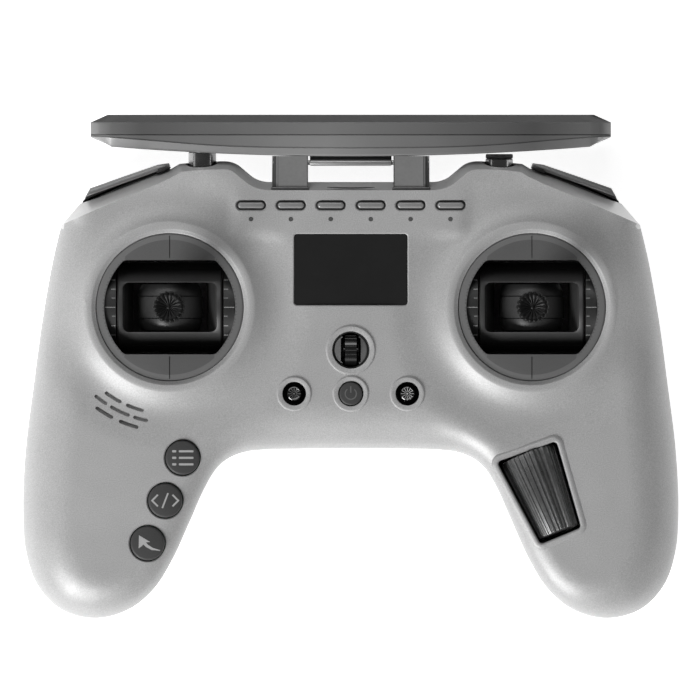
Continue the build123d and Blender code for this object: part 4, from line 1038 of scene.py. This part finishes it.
def crown(side):
    """The stick's grip: eighteen rounded lobes that run in to the middle of a shallow dish."""
    x, y = GIMBALS[side]
    low, high = cad_box("stick_crown_" + side)
    lobes = 18

    def lobe(angles):
        return np.abs(np.cos(angles * lobes / 2)) ** 0.55

    angles = np.linspace(0, 2 * np.pi, lobes * 12, endpoint=False)
    foot, top = low[2], high[2]
    rows = []
    for radius, z, depth, dip in [
            (3.6, foot, 0.1, 0), (4.0, foot + 0.4, 0.11, 0), (4.15, foot + 0.9, 0.12, 0),
            (4.15, top - 0.9, 0.12, 0), (4.0, top - 0.4, 0.12, 0), (3.6, top - 0.15, 0.12, 0.1),
            (3.0, top - 0.25, 0.12, 0.25), (2.2, top - 0.6, 0.1, 0.3), (1.2, top - 1.0, 0.08, 0.25),
            (0.55, top - 1.15, 0.0, 0.0), (0.3, top - 0.95, 0.0, 0.0)]:
        wave = lobe(angles)
        r = radius * (1 - depth * (1 - wave))
        rows.append(np.column_stack([x + r * np.cos(angles), y + r * np.sin(angles), z - dip * (1 - wave)]))
    grip = capped("stick_grip_" + side, rows, 50)
    place(grip, "stick_" + side, "crown", "stick_crown_" + side)


def scale_marks(side):
    """The light marks on the fixed drums each side of the cradle."""
    x, y = GIMBALS[side]
    bars = []
    for sign in (-1, 1):
        for offset, length, width in [(-7.2, 1.1, 0.2), (-4.8, 1.1, 0.2), (-2.3, 0.9, 0.12), (0, 2.7, 0.14),
                                      (2.4, 1.0, 0.12), (4.7, 1.1, 0.2), (7.1, 1.1, 0.2)]:
            bar = prism("bar", [(MARK_START, -width / 2), (MARK_START + length, -width / 2),
                                (MARK_START + length, width / 2), (MARK_START, width / 2)], -0.1, 0.03)
            lean = Matrix.Rotation(-math.asin(offset / DRUM_R), 4, "X")
            spin = Matrix.Rotation(0 if sign > 0 else math.pi, 4, "Z")
            up = math.sqrt(DRUM_R ** 2 - offset ** 2)
            bars.append(turn(bar, shift(x, y + offset, PIVOT_Z + up) @ lean @ spin))
    place(merged("scale_marks_" + side, bars), "root_body", "icon")


for side in ("left", "right"):
    faceplate(side)
    outer_drum(side)
    inner_drum(side)
    crown(side)
    scale_marks(side)


# ------------------------------------------------------------------ antenna
def wing():
    """The antenna wing: rows of points along X, taken round its section."""
    s = np.unique(np.concatenate([np.linspace(-1, 1, 81), [-0.92, 0.92, -0.88, 0.88, -0.96, 0.96]]))
    bow = 775.0

    def edge(x):
        a = np.abs(x)
        arc = 54.6 + bow - np.sqrt(bow ** 2 - np.minimum(a, 62.2) ** 2)
        return np.where(a < 62.2, arc, 57.1 + (a - 62.2) * 3.0 / 5.4)

    def crease(x):
        knots = smooth_curve([(0, 56.9), (24, 57.15), (38, 57.75), (52, 58.9), (62.5, 59.72),
                              (67.6, 60.0)], 1.0)
        return np.interp(np.abs(x), knots[:, 0], knots[:, 1])

    x = 67.6 * s
    low, line = edge(x), crease(x)
    fall = 0.085 * np.clip(np.abs(x) - 62.4, 0, None) ** 2
    ones = np.ones_like(s)
    band = 40.75 - 0.2 * (60.05 - line)
    rows = [
        (63.2 * s, 65.45 * ones, 9.2 * ones),
        (63.2 * s, 65.45 * ones, 37.6 * ones),
        (x, 63.45 * ones, 40.85 - fall),
        (x, 63.2 * ones, 41.0 - fall),
        (x, 60.4 * ones, 41.0 - fall),
        (x, 60.2 * ones, 40.35 - fall),
        (x, 60.05 * ones, 40.7 - fall),
        (x, np.minimum(line + 0.12, 60.03), band - fall - 0.02),
        (x, np.minimum(line, 60.0), band - 0.2 - fall),
        (x, np.minimum(line - 0.28, 59.9), band + 0.02 - fall),
        (x, np.minimum(low + 0.5, 59.8), 39.75 - fall),
        (x, np.minimum(low + 0.12, 59.7), 39.45 - fall),
        (x, np.minimum(low, 59.65), 39.0 - fall),
        (x, np.minimum(low, 59.6), 38.2 - fall),
        (64.4 * s, 58.35 * ones, 38.1 - fall * 0.4),
        (64.4 * s, 58.35 * ones, 9.1 * ones),
        (x, 60.3 * ones, 6.05 * ones),
        (x, 63.3 * ones, 6.05 * ones),
    ]
    n, count = len(s), len(rows)
    vertices = np.vstack([np.column_stack(row) for row in rows])
    faces = row_faces(n, count, False, True)
    for end in (0, n - 1):
        loop = [k * n + end for k in range(count)]
        faces += [[loop[0], loop[1], loop[2], loop[17]], loop[2:14] + [loop[16], loop[17]],
                  [loop[13], loop[14], loop[15], loop[16]]]
    ob = make_object("antenna_wing_body", vertices, faces, 22)
    turn_outwards(ob)
    ob.data.set_sharp_from_angle(angle=math.radians(14))
    place(ob, "antenna_wing", "wing", "antenna_housing", "antenna_cover")
    ob.data.materials.append(MATERIALS["wing_cover"])
    for polygon in ob.data.polygons:
        polygon.material_index = int(polygon.center.y > 0.06355)


def hinge_bar():
    """The barrel under the wing and the dark curved lip that carries it, which also paints the shade in the
    gap under the wing.
    """
    profile = [(0.5, -10.7), (0.72, -10.5), (0.78, -10.2), (0.78, 10.2), (0.72, 10.5), (0.5, 10.7)]
    barrel = turn(lathe("hinge_bar", profile, 40), frame_matrix((0, 52.95, 38.55), (1, 0, 0), (0, 1, 0)))
    place(barrel, "antenna_wing", "bar")
    # the dark lip behind the barrel is partly painted shade for the gap under the wing
    top = [(-10.6, 55.2), (-10.6, 53.6), (10.6, 53.6), (10.6, 55.2)]
    web = prism("hinge_web", top, 36.6, 38.0, bevel=0.2, steps=2)
    lens = [(x, 54.05 + 0.28 * (1 - (x / 9.8) ** 2)) for x in np.linspace(9.8, -9.8, 25)]
    lens += [(x, 53.9 - 0.12 * (1 - (x / 9.8) ** 2)) for x in np.linspace(-9.8, 9.8, 25)]
    place(merged("hinge_lip_and_gap_shade", [web, prism("lens", lens, 37.9, 38.3)]), "antenna_wing", "dark_plastic")


def arm(side, sign):
    """One arm of the antenna bracket: a long front face with a rounded outer edge."""
    inner, outer = 11.1 * sign, 20.45 * sign
    section = [(inner, -29.2), (outer, -29.2), (outer, -37.8), (outer - 0.14 * sign, -38.5),
               (outer - 0.55 * sign, -39.0), (outer - 1.1 * sign, -39.2), (outer - 1.45 * sign, -39.22),
               (outer - 1.6 * sign, -39.5), (inner + 0.3 * sign, -39.5), (inner, -39.2)]
    body = prism("antenna_arm_body_" + side, section, 46.4, 54.72, 28)
    body.data.transform(Matrix(((1, 0, 0, 0), (0, 0, 1, 0), (0, -1, 0, 0), (0, 0, 0, 1))))
    turn_outwards(body)
    place(body, "root_body", "arm", "antenna_arm_" + side)
    # the faces that do not face the front take the darker gunmetal: painted shade along the rounded edges
    body.data.materials.append(MATERIALS["gunmetal"])
    for polygon in body.data.polygons:
        polygon.material_index = int(polygon.normal.z < 0.98)
    x0, x1 = sorted((inner - 0.35 * sign, outer + 0.35 * sign))
    collar = prism("antenna_foot_" + side, rounded_box(((x0 + x1) / 2, 45.75), x1 - x0, 1.85, 0.45, 4),
                   28.8, 39.95, bevel=0.3, steps=3)
    place(collar, "root_body", "gunmetal")


def groove_shade_strip():
    """A thin dark strip over the arms: painted shade that stands for a shallow finger groove."""
    x = np.linspace(-6.2, 6.2, 41)
    middle = 46.55 - 0.16 * (1 - (x / 6.2) ** 2)
    half = 0.16 * np.sqrt(np.clip(1 - (x / 6.3) ** 2, 0, 1)) + 0.01
    z = face_height(np.column_stack([x, middle]))
    n = len(x)
    rows = [np.column_stack([x, middle + dy * half, z + dz])
            for dy, dz in ((-1, 0.03), (1, 0.03), (1, -0.4), (-1, -0.4))]
    faces = row_faces(n, len(rows), False, True)
    faces += [[0, n, 2 * n, 3 * n], [n - 1, 2 * n - 1, 3 * n - 1, 4 * n - 1]]
    ob = make_object("finger_groove_shade", np.vstack(rows), faces)
    turn_outwards(ob)
    place(ob, "root_body", "dark_plastic")


wing()
hinge_bar()
groove_shade_strip()
arm("left", -1)
arm("right", 1)


# ------------------------------------------------------------------ shoulder buttons and toggles
SHOULDER_PLATE = [(-70.3, 41.9), (-67.8, 46.4), (-59.5, 49.3), (-50.1, 52.5), (-47.3, 52.9), (-47.0, 51.9),
                  (-50.0, 50.6), (-65.9, 44.3), (-69.5, 43.0)]
SHOULDER_TOP = [(-69.1, 44.05), (-67.8, 46.4), (-59.5, 49.3), (-50.1, 52.5), (-47.3, 52.9), (-47.0, 51.9),
                (-50.1, 50.85), (-66.2, 45.1)]
SHOULDER_TUCK = [(-69.6, 42.6), (-67.5, 45.6), (-50.2, 51.6), (-47.2, 51.9), (-47.0, 48.4), (-50.6, 48.4),
                 (-65.9, 42.4), (-69.0, 41.2)]


def shoulder(side):
    """A shoulder button: its plate, the part tucked under the shell, a lighter strip that paints a
    highlight along the plate's edge, and a catch.
    """
    def sided(points):
        ring = np.array(points, float)[::-1]
        return ring if side == "left" else mirror_ring(ring)

    body = "shoulder_" + side
    plate = merged("shoulder_plate_" + side, [
        prism("lower", sided(SHOULDER_PLATE), 13.2, 29.6, 30, bevel=0.3, steps=2),
        prism("upper", sided(SHOULDER_TOP), 29.3, 35.5, 30, bevel=0.35, steps=3)])
    place(plate, body, "shoulder", "shoulder_button_" + side)
    place(prism("shoulder_tuck_" + side, sided(SHOULDER_TUCK), 14.0, 29.3, bevel=0.3, steps=2), body,
          "shoulder")
    # a lighter metal strip along the top edge of the plate: a painted highlight
    strip = sided([(-68.2, 45.2), (-67.5, 45.9), (-50.2, 51.95), (-48.0, 52.35), (-48.3, 51.9),
                   (-50.0, 51.35)])
    place(prism("shoulder_highlight_strip_" + side, strip, 35.0, 35.72, bevel=0.1, steps=2), body, "bar")
    block = sided([(-50.6, 50.2), (-50.1, 51.3), (-47.6, 52.0), (-47.3, 51.6), (-48.4, 50.9)])
    place(prism("shoulder_catch_" + side, block, 30.0, 36.1, bevel=0.25, steps=2), body, "dark_plastic")


def mirror_ring(ring):
    out = np.array(ring, float)[::-1].copy()
    out[:, 0] = -out[:, 0]
    return out


def toggle(side):
    """A fluted metal cap on its neck, with the dark collar that it stands in."""
    x, _, z = TOGGLES[side]
    top = 55.9 if side == "left" else 54.1
    flutes = 6

    def shape(angles):
        return 1 - 0.035 * np.abs(np.sin(flutes * angles / 2)) ** 3

    profile = [(3.35, 50.75), (3.55, 50.95), (3.6, 51.2), (3.6, top - 0.35), (3.45, top - 0.1), (3.2, top)]
    upwards = frame_matrix((x, 0, z), (0, 1, 0))
    cap = turn(lathe("toggle_cap_" + side, profile, 120, shape, 25), upwards)
    place(cap, "toggle_" + side, "toggle", "toggle_lever_" + side)
    neck = turn(lathe("toggle_neck_" + side, [(1.35, 49.2), (1.5, 49.4), (1.5, 50.8)], 32), upwards)
    place(neck, "toggle_" + side, "steel")
    if side == "right":
        outline = rounded_box((x + 0.05, 54.72), 7.1, 1.15, 0.3, 3)
        head = prism("toggle_head_right", outline, z - 3.4, z - 0.4, bevel=0.2, steps=2)
        cut(head, [box_piece(x - 1.2, x + 1.4, 54.2, 54.75, z - 1.4, z + 1.0)])
        place(head, "toggle_right", "bar")
    collar = turn(lathe("toggle_collar_" + side, [(3.98, 49.6), (4.3, 49.6), (4.3, 51.3), (4.22, 51.5),
                                                  (4.06, 51.5), (3.98, 51.3)], 96), upwards)
    hollow = turn(lathe("cutter", [(3.95, 49.0), (3.95, 52.0)], 96), upwards)
    cut(collar, [hollow])
    place(collar, "root_body", "dark_plastic")


for side in ("left", "right"):
    shoulder(side)
    toggle(side)


# ------------------------------------------------------------------ roller
ROLLER_TOP, ROLLER_END = np.array([45.7, -22.1, 33.6]), np.array([54.5, -43.9, 36.15])


def roller():
    """A tapered roller with longitudinal ribs of uneven width."""
    axis = ROLLER_END - ROLLER_TOP
    length = float(np.linalg.norm(axis))
    samples = 816  # enough round the roller for the narrow ribs

    def shape(angles):
        wide = np.tanh(3.5 * np.cos(13 * angles + 0.9 * np.sin(3 * angles)))
        narrow = np.tanh(3.0 * np.cos(31 * angles + 0.6 * np.sin(4 * angles)))
        return 1 - 0.028 * (1 - wide) - 0.020 * (1 - narrow)

    profile = [(6.4, 0.75), (7.5, 0.95), (7.8, 1.5), (5.6, length - 1.5), (5.4, length - 0.95),
               (4.7, length - 0.8)]
    knob = turn(lathe("roller_ribbed", profile, samples, shape, 40), frame_matrix(ROLLER_TOP, axis))
    place(knob, "roller_knob", "roller", "roller_knob")


def roller_frame():
    """The raised lip round the roller's window."""
    rows = []
    for amount, z in [(0.05, 38.3), (1.7, 38.3), (1.9, 39.7), (1.7, 39.98), (1.3, 40.3), (0.85, 40.45),
                      (0.45, 40.42), (0.15, 40.15), (0.05, 39.7)]:
        ring = rounded_polygon(grown(ROLLER_WINDOW, amount), 1.0 + amount, 6)
        rows.append(np.column_stack([ring, np.full(len(ring), z)]))
    ob = make_object("roller_lip", np.vstack(rows), row_faces(len(rows[0]), len(rows), True, True))
    turn_outwards(ob)
    place(ob, "root_body", "shell", "roller_frame")


roller()
roller_frame()


# ------------------------------------------------------------------ keys and small controls
def slot_outline(centre, width, height, count=12):
    return rounded_box(centre, width, height, height / 2 - 0.001, count)


def pill(number, x, y):
    outline = slot_outline((x, y), 6.75, 1.55)
    cap = prism("pill_cap_%d" % number, outline, 38.6, 40.6, 30, bevel=0.42, steps=5)
    place(cap, "pill_%d" % number, "pill_cap", "pill_button_%d" % number)


def pill_liners():
    """Dark plates in the slots that paint the shade in the gaps round the caps. They have no opening, so
    each cap passes through its plate.
    """
    plates = [prism("gap_shade_plate", slot_outline(centre, 7.7, 2.5), 39.0, 39.75) for centre in PILLS]
    place(merged("pill_liners", plates), "root_body", "dark_plastic")


def disc(name, centre, radius, low, high, round_off, count=96):
    return prism(name, circle(centre, radius, count), low, high, 30, bevel=round_off, steps=4)


def menu_icon(x, y, z):
    """Three rows, each a dot and a bar."""
    bars, low, high = [], z - ICON_HALF, z + ICON_HALF
    for row in (-1.7, 0.0, 1.7):
        bars.append(prism("bar", rounded_box((x + 0.95, y + row), 3.8, 0.55, 0.14, 2), low, high))
        bars.append(prism("dot", rounded_box((x - 2.15, y + row), 1.1, 0.6, 0.2, 3), low, high))
    return bars


def script_icon(x, y, z):
    """A pair of angle brackets with a slash between them."""
    return [stroke("left", [(x - 1.9, y + 1.5), (x - 3.4, y), (x - 1.9, y - 1.5)], 0.45, z),
            stroke("right", [(x + 1.9, y + 1.5), (x + 3.4, y), (x + 1.9, y - 1.5)], 0.45, z),
            stroke("slash", [(x - 0.75, y - 1.95), (x + 0.75, y + 1.95)], 0.42, z)]


def return_icon(x, y, z):
    """An arrow that points up and to the left on a tapered, bent tail."""
    tail = [(-1.3, 1.2), (0.1, -0.35), (1.4, -1.2), (3.3, -1.75), (3.25, -1.95), (1.1, -1.75),
            (-0.4, -0.95), (-1.9, 0.5)]
    head = [(-2.2, 2.1), (0.7, 0.35), (-0.3, 0.25), (-1.2, -0.4), (-1.45, -0.75), (-2.3, -1.3)]
    out = []
    for name, outline, rise in (("tail", tail, ICON_HALF), ("head", head, 0.06)):
        out.append(prism(name, [(x + i, y + j) for i, j in outline], z - ICON_HALF, z + rise))
    return out


def power_icon(x, y, z):
    """An open ring with a bar in its gap."""
    reflection_sweep = np.linspace(math.radians(38), math.radians(322), 30)
    arc = [(x + 1.45 * math.sin(a), y + 1.45 * math.cos(a)) for a in reflection_sweep]
    return [stroke("ring", arc[::-1], 0.3, z),
            stroke("bar", [(x, y + 0.25), (x, y + 1.95)], 0.3, z)]


for number, (x, y) in enumerate(PILLS, 1):
    pill(number, x, y)
pill_liners()
for name, icon in (("menu_button", menu_icon), ("script_button", script_icon),
                   ("return_button", return_icon)):
    x, y = KEYS[name]
    top = cad_box(name)[1][2]
    cap = disc("key_cap_" + name, (x, y), 4.45, top - 2.2, top, 0.55)
    place(cap, name + "_cap", "key_rubber", name)
    place(merged("icon_" + name, icon(x, y, top)), name + "_cap", "icon")
x, y = POWER
top = cad_box("power_button")[1][2]
place(disc("power_cap", (x, y), 3.0, top - 2.2, top, 0.4), "power_button_cap", "key_rubber", "power_button")
place(merged("icon_power", power_icon(x, y, top)), "power_button_cap", "key_light")


def trim(side, x, y):
    """A dished hat with twelve light spokes, and the black ring that it sits in."""
    low, high = cad_box("trim_hat_" + side)
    foot, top = low[2], high[2]
    profile = [(1.6, foot), (1.9, foot + 0.3), (1.9, top - 0.35), (1.78, top - 0.1), (1.55, top),
               (1.3, top - 0.1), (0.5, top - 0.35), (0.3, top - 0.3)]
    hat = lathe("trim_cap_" + side, profile, 72)
    hat.data.transform(shift(x, y, 0))
    place(hat, "trim_hat_" + side, "gloss_black", "trim_hat_" + side)
    spokes = []
    for k in range(12):
        bar = prism("spoke", [(0.5, -0.06), (1.72, -0.08), (1.72, 0.08), (0.5, 0.06)], -0.12, 0.05)
        lean = Matrix.Rotation(-math.atan2(0.3, 1.2), 4, "Y")
        spin = Matrix.Rotation(2 * math.pi * k / 12, 4, "Z")
        spokes.append(turn(bar, shift(x, y, top - 0.42) @ spin @ lean))
    spokes.append(disc("dot", (x, y), 0.24, top - 0.5, top - 0.2, 0.05, 20))
    tone = "key_light" if side == "left" else "icon"
    place(merged("trim_spokes_" + side, spokes), "trim_hat_" + side, tone)
    profile = [(2.96, 38.0), (3.08, 38.0), (3.08, 39.75), (3.05, 39.85), (2.99, 39.85), (2.96, 39.8)]
    ring = lathe("trim_ring_" + side, profile, 72)
    ring.data.transform(shift(x, y, 0))
    hollow = prism("cutter", circle((x, y), 2.94, 72), 37.0, 41.0)
    cut(ring, [hollow])
    place(ring, "root_body", "gloss_black")


for side, (x, y) in TRIMS.items():
    trim(side, x, y)


def scroll():
    """The round bezel of the scroll wheel, with a cheek each side of the slot."""
    x, y = SCROLL
    rim = lathe("scroll_rim", [(4.5, 38.2), (4.8, 38.2), (4.8, 39.95), (4.72, 40.05), (4.6, 40.05),
                               (4.5, 39.9)], 96)
    rim.data.transform(shift(x, y, 0))
    cut(rim, [prism("cutter", circle((x, y), 4.47, 96), 37.0, 42.0)])
    place(rim, "root_body", "dark_plastic")
    cheek_r, slot_half = 4.4, 2.1
    reach = math.acos(slot_half / cheek_r)
    for sign, label, nodes in ((-1, "left", ["scroll_bezel"]), (1, "right", [])):
        ring = [(x + sign * cheek_r * math.cos(a), y + cheek_r * math.sin(a))
                for a in np.linspace(-reach, reach, 30)]
        cheek = prism("scroll_cheek_" + label, ring, 38.2, 39.7, 30, bevel=0.5, steps=4)
        place(cheek, "root_body", "cheek", *nodes)


scroll()


outline = rounded_box((-58.3, -11.4), 18.0, 12.5, 1.0, 4)
cloth = prism("speaker_cloth", outline, 37.9, 38.4, bevel=0.1, steps=1)
place(cloth, "root_body", "cloth")


# ------------------------------------------------------------------ floor, light and camera
def floor():
    size, level = 1.6, -0.0004
    mesh = bpy.data.meshes.new("floor")
    corners = [(-size, -size), (size, -size), (size, size), (-size, size)]
    mesh.from_pydata([(x, y, level) for x, y in corners], [], [(0, 1, 2, 3)])
    ob = bpy.data.objects.new("floor", mesh)
    bpy.context.scene.collection.objects.link(ob)
    material, tree, shader = new_material("pale_floor")
    shade = ramp(tree, noise(tree, 3.0), [(0.3, 0.86), (0.7, 0.9)])
    tree.links.new(shade, shader.inputs["Base Color"])
    shader.inputs["Roughness"].default_value = 0.9
    shader.inputs["Emission Color"].default_value = (1, 1, 1, 1)
    shader.inputs["Emission Strength"].default_value = 0.8
    mesh.materials.append(material)


def soft_light(name, place, size, power):
    """A rectangular light that faces the middle of the object."""
    data = bpy.data.lights.new(name, "AREA")
    data.shape = "RECTANGLE"
    data.size, data.size_y = size
    data.energy = power
    ob = bpy.data.objects.new(name, data)
    ob.location = place
    ob.rotation_euler = (Vector((0, 0, 0.035)) - Vector(place)).to_track_quat("-Z", "Y").to_euler()
    bpy.context.scene.collection.objects.link(ob)


def studio():
    soft_light("key_lower_left", (-0.7, -0.9, 0.85), (0.6, 0.6), 18.8)
    soft_light("top_band", (-0.3, 0.75, 0.95), (1.2, 0.4), 3.8)
    soft_light("left_band", (-1.1, 0.1, 0.35), (1.2, 0.35), 1.5)
    soft_light("right_band", (1.1, 0.0, 0.25), (1.2, 0.3), 1.6)
    soft_light("low_front", (0.0, -1.1, 0.3), (1.2, 0.35), 0.8)
    world = bpy.data.worlds.new("studio")
    world.use_nodes = True
    world.node_tree.nodes["Background"].inputs["Color"].default_value = (1, 1, 1, 1)
    world.node_tree.nodes["Background"].inputs["Strength"].default_value = 0.09
    bpy.context.scene.world = world


def camera():
    """Looks straight down on the face from far away, as the object is shown."""
    data = bpy.data.cameras.new("camera")
    data.lens = 800
    data.sensor_width = 36
    wide = 0.182  # what the frame spans at the face
    distance = wide * data.lens / data.sensor_width
    data.clip_start = distance - 1.0
    data.clip_end = distance + 10.0
    ob = bpy.data.objects.new("camera", data)
    ob.location = (-0.0002, 0.0043, 0.036 + distance)
    bpy.context.scene.collection.objects.link(ob)
    bpy.context.scene.camera = ob


floor()
studio()
camera()
bpy.context.scene.view_settings.view_transform = "Standard"
